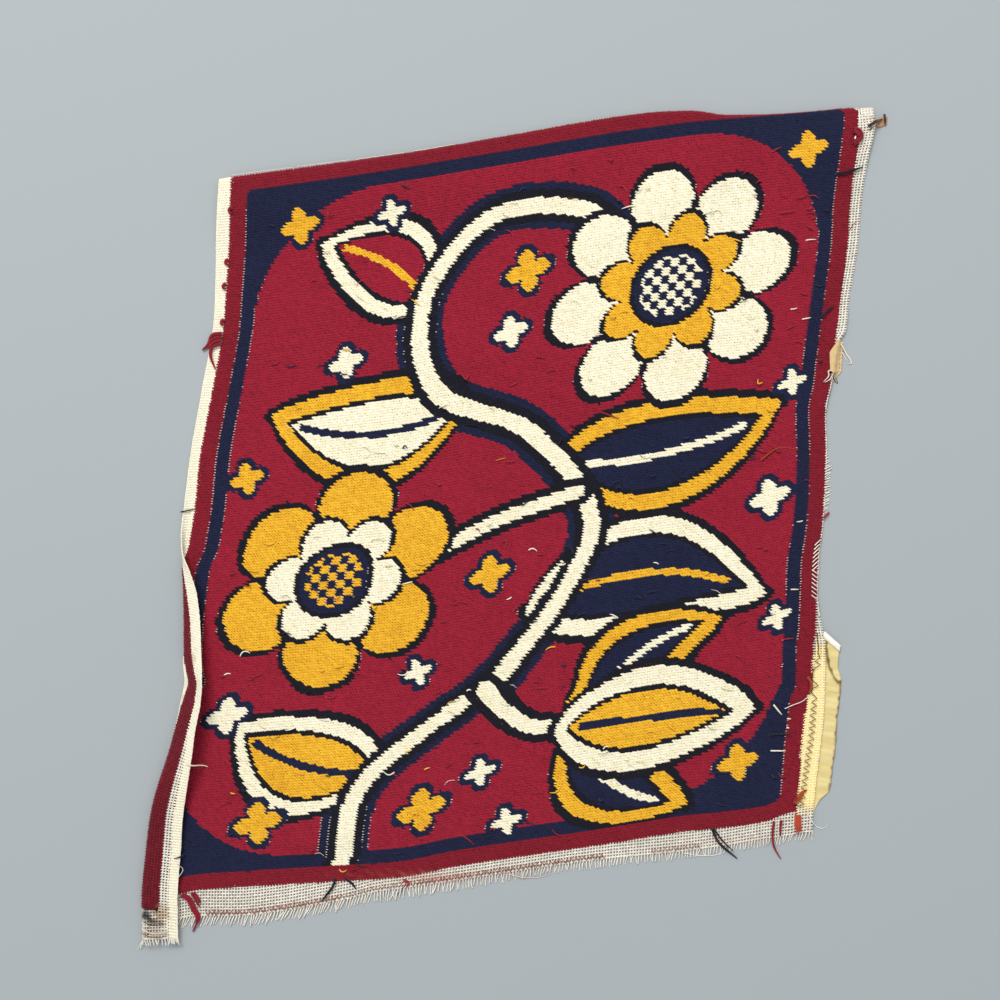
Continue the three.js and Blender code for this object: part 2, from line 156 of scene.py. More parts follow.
TOP = table(
    "x fold worked",
    [
        (-182, 204.6, 205.0), (-172, 206.1, 206.0), (-102, 215.0, 215.6), (-57, 221.4, 222.6),
        (0, 231.3, 232.0), (77, 244.5, 245.0), (103, 247.2, 248.5), (122, 247.7, 251.0),
        (142, 245.1, 252.6), (166, 245.3, 254.6), (189, 246.6, 256.5), (225, 249.6, 260.0),
        (240, 250.0, 262.0),
    ],
)
BOTTOM = table(
    "x worked cut",
    [
        (-257, -264.0, -279.0), (-229, -259.6, -280.0), (-217, -255.0, -274.0),
        (-208, -252.0, -268.0), (-190, -248.7, -266.0), (-171, -247.5, -266.0),
        (-141, -245.6, -263.0), (-119, -244.4, -259.0), (-95, -243.0, -254.4),
        (-80, -242.2, -250.6),
        (-63, -240.8, -248.3), (-32, -234.6, -243.8), (64, -220.2, -229.8),
        (90, -216.0, -227.2), (116, -211.9, -224.6), (136, -210.0, -222.0),
        (166, -206.0, -217.0), (188, -198.5, -213.6), (199, -197.0, -210.6),
    ],
)
SWELLS = [
    dict(x=-172, y=-96, long=92, wide=40, turn=98, height=2.6),
    dict(x=186, y=4, long=96, wide=20, turn=94, height=4.2),
    dict(x=104, y=190, long=84, wide=34, turn=24, height=2.4),
    dict(x=-20, y=92, long=120, wide=30, turn=160, height=1.8),
    dict(x=-98, y=-212, long=56, wide=20, turn=12, height=1.6),
]
OVER_TAPE = [dict(start=-208, end=-68, inset=1), dict(start=60, end=116, inset=1)]
print("sections of the left side:", len(LEFT["y"]))

# %% [markdown]
# The table's points are joined by a curve that never swings past them, so an edge stays where
# it was measured. A spline through all of the points would wave between them.

# %% A smooth curve through a table
def along(data, column, at):
    """The value of a table's column at each place, on a curve that doesn't overshoot."""
    xs, ys = next(iter(data.values())), data[column]
    slope = np.diff(ys) / np.diff(xs)
    before, after = slope[:-1], slope[1:]
    turning = before * after <= 0
    inner = np.where(turning, 0, 2 * before * after / np.where(turning, 1, before + after))
    tangent = np.concatenate([slope[:1], inner, slope[-1:]])
    at = np.clip(at, xs[0], xs[-1])
    k = np.clip(np.searchsorted(xs, at, side="right") - 1, 0, len(xs) - 2)
    step = xs[k + 1] - xs[k]
    t = (at - xs[k]) / step
    u = 1 - t
    ends = ys[k] * (1 + 2 * t) * u * u + ys[k + 1] * (3 - 2 * t) * t * t
    return ends + step * (tangent[k] * t * u * u - tangent[k + 1] * u * t * t)


def smooth(start, end, value):
    t = np.clip((value - start) / (end - start), 0, 1)
    return t * t * (3 - 2 * t)


def mix(a, b, t):
    return a + (b - a) * t


def left_section(y):
    """Where the cloth leaves the floor on its left side, and how it curls from there."""
    turn = np.radians(along(LEFT, "turn", y))
    radius = along(LEFT, "radius", y)
    tangent = along(LEFT, "fold", y) + radius * np.sin(np.minimum(turn, math.pi / 2))
    red = along(LEFT, "red", y)
    worked = tangent - red
    return dict(
        tangent=tangent, turn=turn, red=red, worked=worked,
        edge=worked - along(LEFT, "margin", y),
        bend=np.maximum(LEAST_BEND, radius * turn),
        lip=np.radians(along(LEFT, "lip", y)),
    )


def hem_line(x):
    return along(TOP, "fold", x) - HEM_RADIUS


print("left edge at the middle, mm:", round(float(left_section(np.array(0.0))["edge"]), 1))

# %% Height and thickness of the cloth
def thickness(x, y):
    inside = np.minimum.reduce(
        [
            x - left_section(y)["worked"],
            along(RIGHT, "worked", y) - x,
            y - along(BOTTOM, "worked", x),
            along(TOP, "worked", x) - y,
        ]
    )
    return mix(CANVAS_THICKNESS, WORKED_THICKNESS, smooth(-WOOL_STEP, WOOL_STEP, inside))


def lift(x, y):
    """How far the underside stands off the floor."""
    below_hem = hem_line(x) - y
    height = 2 * HEM_RADIUS * (1 - smooth(HEM_DEPTH, HEM_DEPTH + HEM_RELIEF, below_hem))
    for swell in SWELLS:
        angle = math.radians(swell["turn"])
        dx, dy = x - swell["x"], y - swell["y"]
        a = (dx * math.cos(angle) + dy * math.sin(angle)) / swell["long"]
        b = (dy * math.cos(angle) - dx * math.sin(angle)) / swell["wide"]
        height = height + swell["height"] * (1 - smooth(0, 1, np.hypot(a, b)))
    for zone in OVER_TAPE:
        near = smooth(-8, -zone["inset"], x - along(RIGHT, "worked", y))
        ends = smooth(zone["start"] - 8, zone["start"], y) * (1 - smooth(zone["end"], zone["end"] + 8, y))
        height = np.maximum(height, (TAPE_THICKNESS + PIECE_GAP) * near * ends)
    return height


# %% Folding
def walk(distance, heading, steps=24):
    """Follows a bent profile for a distance, and says how far out and up it comes."""
    step = distance / steps
    out, up = np.zeros_like(distance), np.zeros_like(distance)
    for k in range(steps):
        angle = heading((k + 0.5) * step)
        out += np.cos(angle) * step
        up += np.sin(angle) * step
    return out, up


def middle(x, y):
    """The middle of the cloth in space, for points of the flat plan."""
    section = left_section(y)
    past_left = np.maximum(0, section["tangent"] - x)
    past_top = np.maximum(0, y - hem_line(x))
    point = np.stack([x + past_left, y - past_top, np.zeros_like(x)], axis=-1)
    point[..., 2] = lift(point[..., 0], point[..., 1]) + thickness(point[..., 0], point[..., 1]) / 2
    out, up = walk(
        past_left,
        lambda d: section["turn"] * np.minimum(1, d / section["bend"])
        - section["lip"] * smooth(section["red"] - LIP_BEND, section["red"] + LIP_BEND, d),
    )
    point[..., 0] -= out
    point[..., 2] += up
    out, up = walk(past_top, lambda d: math.pi * np.minimum(1, d / (math.pi * HEM_RADIUS)))
    point[..., 1] += out
    point[..., 2] -= up
    return point


def drape(x, y, height):
    """Points of the flat plan, at a height over the middle of the cloth, in the frame's metres."""
    x, y = np.asarray(x, float), np.asarray(y, float)
    across = middle(x + 0.2, y) - middle(x - 0.2, y)
    upward = middle(x, y + 0.2) - middle(x, y - 0.2)
    normal = np.cross(across, upward)
    normal /= np.linalg.norm(normal, axis=-1, keepdims=True)
    return in_frame(middle(x, y) + normal * np.asarray(height)[..., None])


# %% [markdown]
# The frame's origin is the middle of the whole footprint, but the tables count from the middle
# of the view. The shift between them isn't typed in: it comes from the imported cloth's own box,
# set against the right edge and the lowest cut of the tables above.

# %% From the plan to the frame
low, high = (np.array(corner) * 1000 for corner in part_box("worked_canvas"))
SHIFT = np.array([high[0] - RIGHT["edge"].max(), low[1] - BOTTOM["cut"].min(), low[2]])


def in_frame(points):
    """Plan points in millimetres as points of the frame in metres."""
    return (np.asarray(points) + SHIFT) / 1000


print("shift from plan to frame, mm:", SHIFT.round(3))

# %% [markdown]
# ## The camera and the light
#
# The object was seen from straight above. A camera could be turned by a Track To constraint,
# but one that looks down needs no rotation at all. Its lens follows from two lengths: how high
# it hangs, and how wide a stretch of the floor it sees.

# %% Camera
VIEW_WIDTH = 0.64
CAMERA_HEIGHT = 0.88
CAMERA_X = -1.1  # of the plan, mm

lens = bpy.data.cameras.new("overhead_camera")
lens.sensor_width = 36.0
lens.lens = 36.0 * CAMERA_HEIGHT / VIEW_WIDTH
lens.clip_end = 20
camera = bpy.data.objects.new("overhead_camera", lens)
camera.location = in_frame((CAMERA_X, 0, CAMERA_HEIGHT * 1000))
scene.collection.objects.link(camera)
scene.camera = camera
scene.render.resolution_x = scene.render.resolution_y = 1000
print("lens, mm:", round(lens.lens, 1))

# %% [markdown]
# Soft daylight fills the room and a large window stands to the upper left. A sun lamp would
# give hard shadows, so the window is an area lamp as wide as the real thing, and the world
# gives the rest. The Standard view keeps the wool's own colours.

# %% Light
scene.view_settings.view_transform = "Standard"
world = bpy.data.worlds.new("daylight")
world.use_nodes = True
world.node_tree.nodes["Background"].inputs["Color"].default_value = (0.93, 0.96, 1.0, 1)
world.node_tree.nodes["Background"].inputs["Strength"].default_value = 0.67
scene.world = world

window = bpy.data.lights.new("window", "AREA")
window.shape = "RECTANGLE"
window.size, window.size_y = 1.7, 1.2
window.energy = 88
window.color = (1.0, 0.985, 0.96)
window_light = bpy.data.objects.new("window", window)
window_light.location = (-0.8, 2.1, 2.6)
window_light.rotation_euler = (-window_light.location).to_track_quat("-Z", "Y").to_euler()
scene.collection.objects.link(window_light)

# %% [markdown]
# ## Counting in threads
#
# The worker counts threads, so the work is mapped in thread counts too: u goes from 0 at the
# left end of the rows to COLUMNS at the right, and v from 0 at the bottom row to ROWS at the
# top. Long years of slanting stitches have pulled the canvas out of square, and the map is
# skewed with it, because all four sides come from the tables. Outside the wool the counts go
# on at the pitch of bare canvas.

# %% From thread counts to the plan
COLUMNS, ROWS = 230, 272


def plan(u, v):
    """Thread counts as points of the flat plan. The two sides of a point depend on each other,
    so they are found together in a few rounds."""
    inside_u, inside_v = np.clip(u, 0, COLUMNS), np.clip(v, 0, ROWS)
    past_u, past_v = (u - inside_u) * MESH_PITCH, (v - inside_v) * MESH_PITCH
    x, y = np.zeros(np.shape(u)), np.zeros(np.shape(u))
    for _ in range(7):
        y = mix(along(BOTTOM, "worked", x), along(TOP, "worked", x), inside_v / ROWS) + past_v
        x = mix(left_section(y)["worked"], along(RIGHT, "worked", y), inside_u / COLUMNS) + past_u
    return x, y


# A grid of the cloth at every thread is worked out once. A strand's points, of which there
# are half a million, are then read off between its nodes.
FIRST_U, FIRST_V = -8, -14
grid_u, grid_v = np.meshgrid(np.arange(FIRST_U, COLUMNS + 9.0), np.arange(FIRST_V, ROWS + 13.0))
GRID = in_frame(middle(*plan(grid_u, grid_v)))
GRID_NORMAL = np.cross(np.gradient(GRID, axis=1), np.gradient(GRID, axis=0))
GRID_NORMAL /= np.linalg.norm(GRID_NORMAL, axis=-1, keepdims=True)


def on_threads(u, v, height):
    """Points at thread counts, at a height in mm over the middle of the cloth, in metres."""
    a = np.clip(u - FIRST_U, 0, GRID.shape[1] - 1.001)
    b = np.clip(v - FIRST_V, 0, GRID.shape[0] - 1.001)
    i, j = a.astype(int), b.astype(int)
    s, t = (a - i)[..., None], (b - j)[..., None]

    def between(grid):
        return mix(mix(grid[j, i], grid[j, i + 1], s), mix(grid[j + 1, i], grid[j + 1, i + 1], s), t)

    normal = between(GRID_NORMAL)
    normal /= np.linalg.norm(normal, axis=-1, keepdims=True)
    return between(GRID) + normal * (np.asarray(height) / 1000)[..., None]


pitch = np.linalg.norm(GRID[100, 101] - GRID[100, 100]) * 1000
print("pitch under the wool, mm:", round(pitch, 2), "stitches:", COLUMNS * ROWS)

# %% [markdown]
# ## The chart
#
# The wool's pattern is a chart with one number for each crossing, as a needleworker would draw
# on squared paper: a vine with leaves and two rosettes, small blossoms, a dark frame and a red
# border. Each motif is a short formula. No image is read, and any size can be changed by hand.

# %% An empty chart and its rulers
CRIMSON, NAVY, BLACK, CREAM, GOLD = range(5)
OUTLINE = 3.0  # threads of dark wool round a motif
chart = np.full((ROWS, COLUMNS), CRIMSON)
col, row = np.meshgrid(np.arange(COLUMNS) + 0.5, np.arange(ROWS) + 0.5)


def inside_panel(inset, corner):
    """Crossings inside a panel with round corners, so many threads in from the edge."""
    dx = abs(col - COLUMNS / 2) - (COLUMNS / 2 - inset - corner)
    dy = abs(row - ROWS / 2) - (ROWS / 2 - inset - corner)
    outside = np.hypot(np.maximum(dx, 0), np.maximum(dy, 0)) + np.minimum(np.maximum(dx, dy), 0)
    return outside < corner


def seen_from(x, y, degrees):
    """The crossings as seen from a point, along a direction and across it."""
    a = math.radians(degrees)
    dx, dy = col - x, row - y
    return dx * math.cos(a) + dy * math.sin(a), dy * math.cos(a) - dx * math.sin(a)


def through(points, steps):
    """A smooth line through a few points, with so many steps from each to the next."""
    p = np.array(points, float)
    p = np.vstack([2 * p[0] - p[1], p, 2 * p[-1] - p[-2]])
    line = [p[1]]
    for a, b, c, d in zip(p, p[1:], p[2:], p[3:]):
        for t in np.arange(1, steps + 1) / steps:
            bend = (2 * a - 5 * b + 4 * c - d) * t**2 + (3 * b - a - 3 * c + d) * t**3
            line.append(b + 0.5 * ((c - a) * t + bend))
    return np.array(line)


print("chart:", chart.shape)


# %% Stems and leaves
def stem(points, wide, wool, rim=0.0):
    """A smooth stem through a few points, with a dark rim."""
    near = np.full(chart.shape, np.inf)
    for x, y in through(points, 20):
        near = np.minimum(near, np.hypot(col - x, row - y))
    if rim:
        chart[near < wide / 2 + rim] = BLACK
    chart[near < wide / 2] = wool


def leaf(x, y, degrees, length, wide, rim, body, vein, bend=0.1, rim_wide=5.0):
    u, v = seen_from(x, y, degrees)
    t = np.clip(u / length, 0, 1)
    v = v - bend * length * 4 * t * (1 - t)
    half = wide / 2 * np.sin(math.pi * t**0.8) ** 0.75
    past_tip = np.hypot(np.where(u < 0, u, u - length), v)
    out = np.where((u > 0) & (u < length), abs(v) - half, past_tip)
    chart[out < OUTLINE] = BLACK
    chart[out < 0] = rim
    chart[out < -rim_wide] = BLACK
    chart[out < -rim_wide - 1.8] = body
    chart[(out < -rim_wide - 2.2) & (abs(v) < 1.3) & (t > 0.12) & (t < 0.84)] = vein


# %% Rosettes and blossoms
def rosette(x, y, size, petals, turn, outer, inner, heart, seeds):
    u, v = seen_from(x, y, turn)
    far, way = np.hypot(u, v), np.arctan2(v, u) * petals / 2
    petal = size * (0.60 + 0.40 * abs(np.cos(way)) ** 0.55)
    cup = size * 0.60 * (0.62 + 0.38 * abs(np.sin(way)) ** 0.6)
    chart[far < petal + OUTLINE] = BLACK
    chart[far < petal] = outer
    chart[(abs(np.cos(way)) * far * 2 / petals < 1.3) & (far < petal)] = BLACK
    chart[far < cup + 2.0] = BLACK
    chart[far < cup] = inner
    chart[far < size * 0.31 + 1.8] = BLACK
    chart[far < size * 0.31] = heart
    check = (np.floor(col / 3) + np.floor(row / 3)) % 2 == 0
    chart[(far < size * 0.26) & check] = seeds


def blossom(x, y, size, wool):
    u, v = seen_from(x, y, 12)
    far, way = np.hypot(u, v), np.arctan2(v, u)
    petal = size * (0.45 + 0.55 * abs(np.cos(2 * way)))
    chart[far < petal + 2.4] = NAVY
    chart[far < petal] = wool


# %% The pattern, from the back of the design to its front
chart[inside_panel(6, 2)] = NAVY
chart[inside_panel(11, 46)] = CRIMSON
VINE = [(74, 4), (80, 40), (122, 74), (146, 118), (122, 158), (84, 180), (74, 214), (96, 242), (130, 240), (150, 222)]
stem(VINE, 17, NAVY)
leaf(82, 40, 158, 58, 36, CREAM, GOLD, NAVY)
leaf(126, 92, -4, 86, 42, CREAM, NAVY, GOLD, 0.12, 6)
leaf(96, 174, 176, 72, 40, GOLD, CREAM, NAVY, 0.12, 6)
leaf(132, 146, 8, 82, 40, GOLD, NAVY, CREAM, -0.10, 6)
leaf(76, 214, 146, 50, 34, CREAM, CRIMSON, GOLD, -0.10)
stem(VINE, 6, CREAM, OUTLINE)
stem([(112, 66), (130, 50), (146, 46)], 5, CREAM, OUTLINE)
stem([(140, 134), (112, 128), (86, 118)], 5, CREAM, OUTLINE)
rosette(166, 206, 44, 8, 10, CREAM, GOLD, NAVY, CREAM)
rosette(56, 114, 40, 6, 24, GOLD, CREAM, NAVY, GOLD)
leaf(146, 46, 34, 60, 30, GOLD, NAVY, CREAM, 0.12)
leaf(146, 46, -38, 58, 30, GOLD, NAVY, CREAM, -0.12)
leaf(142, 46, -2, 70, 38, CREAM, GOLD, NAVY, 0.0, 7)
for x, y, size in ((26, 250, 7), (112, 220, 8), (212, 252, 7), (44, 24, 8), (100, 24, 8), (112, 108, 7), (18, 156, 6), (208, 24, 7)):
    blossom(x, y, size, GOLD)
for x, y, size in ((48, 196, 6), (108, 198, 6), (216, 164, 5), (24, 66, 7), (118, 34, 5), (210, 122, 7), (88, 76, 5), (60, 250, 5), (130, 14, 5), (216, 76, 5)):
    blossom(x, y, size, CREAM)
chart[~inside_panel(6, 2)] = CRIMSON
WOOL_NAMES = ["crimson", "navy", "black", "cream", "gold"]
print({name: round(float((chart == k).mean()), 2) for k, name in enumerate(WOOL_NAMES)})

# %% [markdown]
# ## Stains and painted shade
#
# An old textile has soft stains and a little dye that has run. They belong to places on the
# cloth and not to one piece, so each mesh gets a colour attribute worked out from where its
# points are: the stain's colour, and in the alpha how strong it is. A painted image would need
# a file, and one material for each stain would cut the pieces up. The same attribute also
# carries painted shade: the darkened wool under the strands, and a shadow along the tape's fold.

# %% Stain and painted shade attribute
# Each stain is its middle and half size in the plan, its strength and its colour.
STAINS = [
    (-226.6, -264.8, 5.6, 4.4, 0.92, "#1E1714"),
    (-221.6, -268.6, 5.5, 3.4, 0.75, "#3A2C22"),
    (-217.2, -263.6, 6.0, 6.5, 0.55, "#A87C46"),
    (-221.0, -275.5, 10.0, 4.4, 0.42, "#8C6A48"),
    (189.5, -192.0, 3.0, 4.0, 0.40, "#A8481C"),
    (240.5, 243.0, 5.0, 4.0, 0.45, "#8A5A2C"),
    (-140.0, -259.0, 46.0, 3.0, 0.10, "#B5685A"),
    (-10.0, -240.0, 90.0, 5.0, 0.14, "#B5684A"),
    (-42.0, -242.0, 24.0, 4.0, 0.30, "#D27C68"),
    (152.0, -218.0, 44.0, 4.0, 0.10, "#B5684A"),
]


# Three pieces have marks of their own. The net is yellowed where it lay against the tape, the
# selvedge has taken a little red from the wool beside it, and the tape is soiled along its
# worn edge. Along the line where its corner is folded over, the tape has a painted shadow.
def soil_and_shade_line(points, half, strength, tint):
    """A row of small spots along a plan line."""
    return [(x, y, half, half, strength, tint) for x, y in through(points, 8)]


# The first line is the fold of the tape's turned corner, darkened there as painted shadow; the second is its soiled
# rim.
TAPE_FOLD_SHADOW = [(207.6, -91.4), (207.9, -98.0), (208.8, -104.0), (211.0, -110.6), (214.9, -117.0)]
TAPE_RIM = [(216.6, -116.0), (216.2, -127.0), (214.4, -141.0), (213.6, -155.0), (211.8, -170.0), (209.6, -185.0)]
YELLOWED = [(199.6, -99.0), (199.6, -120.0), (199.0, -140.0), (197.2, -160.0), (194.6, -180.0), (193.6, -190.0)]
OWN_STAINS_AND_SHADE = {
    "open_canvas_margins": [(x, y, 12.0, 11.0, 0.94, "#FFEAAC") for x, y in through(YELLOWED, 2)],
    "selvedge": [(-197.5, -94.0, 5.0, 46.0, 0.10, "#C9877C"), (-196.0, -100.0, 3.5, 6.0, 0.35, "#A98C66")],
    "machined_tape": soil_and_shade_line(TAPE_FOLD_SHADOW, 1.1, 0.85, "#6E5E1C") + soil_and_shade_line(TAPE_RIM, 1.2, 0.70, "#6A4020"),
}


def stain(mesh, spots):
    """Gives a mesh its attribute of stains and painted shade, from the places of its points."""
    count = len(mesh.vertices)
    points = np.empty(count * 3, np.float32)
    mesh.vertices.foreach_get("co", points)
    x, y, _ = (points.reshape(-1, 3) * 1000 - SHIFT).T
    ragged = 0.25 * (np.sin(x * 0.9 + 2 * np.sin(y * 0.45)) + np.sin(y * 1.1 + x * 0.35))
    colour = np.zeros((count, 4), np.float32)
    for at_x, at_y, half_x, half_y, strength, tint in spots:
        far = np.hypot((x - at_x) / half_x, (y - at_y) / half_y)
        amount = strength * (1 - smooth(0.35, 1.15, far + ragged * smooth(0.2, 1.0, far)))
        amount = amount[:, None]
        total = np.maximum(colour[:, 3:] + amount, 1e-6)
        colour[:, :3] = (colour[:, :3] * colour[:, 3:] + np.array(linear(tint)[:3]) * amount) / total
        colour[:, 3:] = np.minimum(colour[:, 3:] + amount * (1 - colour[:, 3:]), 1)
    attribute = mesh.attributes.new("stain", "FLOAT_COLOR", "POINT")
    attribute.data.foreach_set("color", colour.ravel())


print("stains:", len(STAINS))

# %% [markdown]
# ## Wool and cotton
#
# Tapestry wool is a soft plied yarn: it scatters light, has hardly any gloss and a faint sheen
# at a grazing angle, where its fine hairs catch the light. Canvas is hard-spun cotton, a bit
# smoother. Each strand has a tone of its own, stored as an attribute where it is laid, because
# no two lengths from a skein take the dye alike. Fibres are about 0.02 mm thick, far too fine
# to show here, so the bump is drawn at about 0.3 mm, as coarse as the plies of the yarn.
#
# Between two strands little light comes in, and a strand's flanks look darker than its ridge.
# That line is narrower than a pixel here, so it isn't left to the light alone: a second
# attribute says how near the ridge a point is, and the darker tone goes to the flanks.

# %% Fibre finish
PLY_MM = 0.3


def fibre(name, dark, light, roughness=0.95, sheen=0.25, patch_mm=45.0):
    """A yarn's finish: its two tones, dye patches, painted shade on the flanks, stains and the roughness of its plies.
    """
    material = bpy.data.materials.new(name)
    material.use_nodes = True
    tree = material.node_tree
    tree.nodes.clear()
    place = add(tree, "ShaderNodeTexCoord").outputs["Object"]
    tone = add(tree, "ShaderNodeAttribute", attribute_name="tone").outputs["Fac"]
    ridge = add(tree, "ShaderNodeAttribute", attribute_name="ridge").outputs["Fac"]
    patches = add(
        tree, "ShaderNodeTexNoise",
        {"Vector": place, "Scale": 1000 / patch_mm, "Detail": 3.0, "Roughness": 0.6},
    )
    plies = add(
        tree, "ShaderNodeTexNoise",
        {"Vector": place, "Scale": 1000 / PLY_MM / 2, "Detail": 2.0, "Roughness": 0.7},
    )
    amount = 0.0
    for source, share in ((patches.outputs["Fac"], 0.30), (tone, 0.30), (ridge, 0.54)):
        amount = add(
            tree, "ShaderNodeMath", {"Value": source, "Value_001": share, "Value_002": amount},
            operation="MULTIPLY_ADD", use_clamp=True,
        ).outputs["Value"]
    dyed = add(
        tree, "ShaderNodeMix",
        {"Factor_Float": amount, "A_Color": linear(dark), "B_Color": linear(light)},
        data_type="RGBA",
    )
    spot = add(tree, "ShaderNodeAttribute", attribute_name="stain")
    stained_and_shaded = add(
        tree, "ShaderNodeMix",
        {
            "Factor_Float": spot.outputs["Alpha"],
            "A_Color": dyed.outputs[2],
            "B_Color": spot.outputs["Color"],
        },
        data_type="RGBA",
    )
    bump = add(
        tree, "ShaderNodeBump",
        {"Strength": 0.5, "Distance": PLY_MM / 1000, "Height": plies.outputs["Fac"]},
    )
    skin = add(
        tree, "ShaderNodeBsdfPrincipled",
        {
            "Base Color": stained_and_shaded.outputs[2], "Roughness": roughness, "IOR": 1.54,
            "Specular IOR Level": 0.25, "Sheen Weight": sheen, "Sheen Roughness": 0.4,
            "Normal": bump.outputs["Normal"],
        },
    )
    add(tree, "ShaderNodeOutputMaterial", {"Surface": skin.outputs["BSDF"]})
    return material


WOOLS = [
    fibre("crimson_tapestry_wool", "#720D1F", "#A61E36"),
    fibre("navy_tapestry_wool", "#0A0D20", "#1D2344"),
    fibre("black_tapestry_wool", "#07070E", "#181724"),
    fibre("cream_tapestry_wool", "#DCCB98", "#FFFCE8"),
    fibre("gold_tapestry_wool", "#BC740C", "#FCC834"),
    fibre("deep_crimson_border_wool", "#620A18", "#8F182B"),
]
BORDER = len(WOOLS) - 1
FOLDED_WOOL = fibre("deep_crimson_wool_of_the_fold", "#4A0612", "#821626")
COTTON = fibre("cotton_canvas_thread", "#7A6B56", "#FFF9EA", roughness=0.85, sheen=0.1)
SHADED_CANVAS = fibre("canvas_in_the_shade_of_the_wool", "#3E2E2A", "#5A463C")
SELVEDGE_COTTON = fibre("woven_cotton_selvedge", "#E0D6B8", "#FFF9E4", roughness=0.85, sheen=0.1)
print("finishes:", [m.name for m in bpy.data.materials])

# %% [markdown]
# ## A tree that lays stitches
#
# There are over sixty thousand stitches on each face. Each could be a copy made in Python, but
# Geometry Nodes put one small strand on every point of a cloud far faster. A point carries how
# the strand is turned and how long, wide and tall it is. A little of each is random, from a
# fixed seed, because no hand pulls every stitch alike.
#
# The strands are laid flat, in thread counts. The bending onto the cloth comes afterwards, for
# all of their points at once, so a strand also bends round the fold.

# %% Stitch tree
def new_tree(name, inputs):
    tree = bpy.data.node_groups.new(name, "GeometryNodeTree")
    for label, kind in [("Geometry", "NodeSocketGeometry"), *inputs]:
        tree.interface.new_socket(label, in_out="INPUT", socket_type=kind)
    tree.interface.new_socket("Geometry", in_out="OUTPUT", socket_type="NodeSocketGeometry")
    return tree, tree.nodes.new("NodeGroupInput").outputs


def end_tree(tree, geometry, material):
    """Every tree ends alike: smooth faces, real geometry and its material."""
    soft = add(tree, "GeometryNodeSetShadeSmooth", {"Geometry": geometry})
    real = add(tree, "GeometryNodeRealizeInstances", {"Geometry": soft.outputs[0]})
    dressed = add(tree, "GeometryNodeSetMaterial", {"Geometry": real.outputs[0], "Material": material})
    output = tree.nodes.new("NodeGroupOutput")
    tree.links.new(dressed.outputs[0], output.inputs[0])


stitch_tree, given = new_tree(
    "lay_stitches",
    [("Strand", "NodeSocketObject"), ("Material", "NodeSocketMaterial"), ("Untidy", "NodeSocketFloat"), ("Seed", "NodeSocketInt")],
)


def stitch_random(kind, low_value, high_value, turn):
    """A random value for each stitch. turn keeps the values apart from each other."""
    ids = {"FLOAT_VECTOR": ("Min", "Max", 0), "FLOAT": ("Min_001", "Max_001", 1)}[kind]
    seed = add(stitch_tree, "ShaderNodeMath", {"Value": given["Seed"], "Value_001": float(turn)}, operation="ADD")
    node = add(
        stitch_tree, "FunctionNodeRandomValue",
        {ids[0]: low_value, ids[1]: high_value, "Seed": seed.outputs[0]}, data_type=kind,
    )
    return node.outputs[ids[2]]


scatter = add(
    stitch_tree, "ShaderNodeVectorMath",
    {"Vector": stitch_random("FLOAT_VECTOR", (-0.14, -0.12, 0.0), (0.14, 0.12, 0.12), 11), "Scale": given["Untidy"]},
    operation="SCALE",
)
moved = add(stitch_tree, "GeometryNodeSetPosition", {"Geometry": given["Geometry"], "Offset": scatter.outputs[0]})
toned = add(
    stitch_tree, "GeometryNodeStoreNamedAttribute",
    {"Geometry": moved.outputs[0], "Name": "tone", "Value": stitch_random("FLOAT", 0.0, 1.0, 23)},
    data_type="FLOAT", domain="POINT",
)
turn = add(stitch_tree, "GeometryNodeInputNamedAttribute", {"Name": "turn"}, data_type="FLOAT").outputs[0]
size = add(stitch_tree, "GeometryNodeInputNamedAttribute", {"Name": "size"}, data_type="FLOAT_VECTOR").outputs[0]
sway = add(
    stitch_tree, "ShaderNodeMath",
    {"Value": stitch_random("FLOAT", -0.16, 0.16, 37), "Value_001": given["Untidy"], "Value_002": turn},
    operation="MULTIPLY_ADD",
)
upright = add(stitch_tree, "ShaderNodeCombineXYZ", {"Z": sway.outputs[0]})
uneven = add(
    stitch_tree, "ShaderNodeVectorMath",
    {"Vector": size, "Vector_001": stitch_random("FLOAT_VECTOR", (0.92, 0.86, 0.80), (1.12, 1.14, 1.16), 51)},
    operation="MULTIPLY",
)
strand = add(stitch_tree, "GeometryNodeObjectInfo", {"Object": given["Strand"]})
facing = add(stitch_tree, "FunctionNodeEulerToRotation", {"Euler": upright.outputs[0]})
laid = add(
    stitch_tree, "GeometryNodeInstanceOnPoints",
    {
        "Points": toned.outputs[0], "Instance": strand.outputs["Geometry"],
        "Rotation": facing.outputs[0], "Scale": uneven.outputs[0],
    },
)
end_tree(stitch_tree, laid.outputs[0], given["Material"])
print("stitch tree:", len(stitch_tree.nodes), "nodes")


# %% Running a tree
def new_object(name, vertices, edges=(), faces=()):
    mesh = bpy.data.meshes.new(name)
    mesh.from_pydata(np.asarray(vertices).tolist(), list(edges), list(faces))
    thing = bpy.data.objects.new(name, mesh)
    scene.collection.objects.link(thing)
    return thing


def set_attribute(mesh, name, kind, values):
    attribute = mesh.attributes.new(name, kind, "POINT")
    field = "vector" if kind == "FLOAT_VECTOR" else "value"
    attribute.data.foreach_set(field, np.asarray(values, np.float32).ravel())


def grow(seedbed, tree, **inputs):
    """Runs a tree on an object and keeps the result as its plain mesh."""
    modifier = seedbed.modifiers.new(tree.name, "NODES")
    modifier.node_group = tree
    for item in tree.interface.items_tree:
        if item.in_out == "INPUT" and item.name in inputs:
            modifier[item.identifier] = inputs[item.name]
    evaluated = seedbed.evaluated_get(bpy.context.evaluated_depsgraph_get())
    grown = bpy.data.meshes.new_from_object(evaluated)
    seedbed.modifiers.remove(modifier)
    seedbed.data = grown
    return seedbed


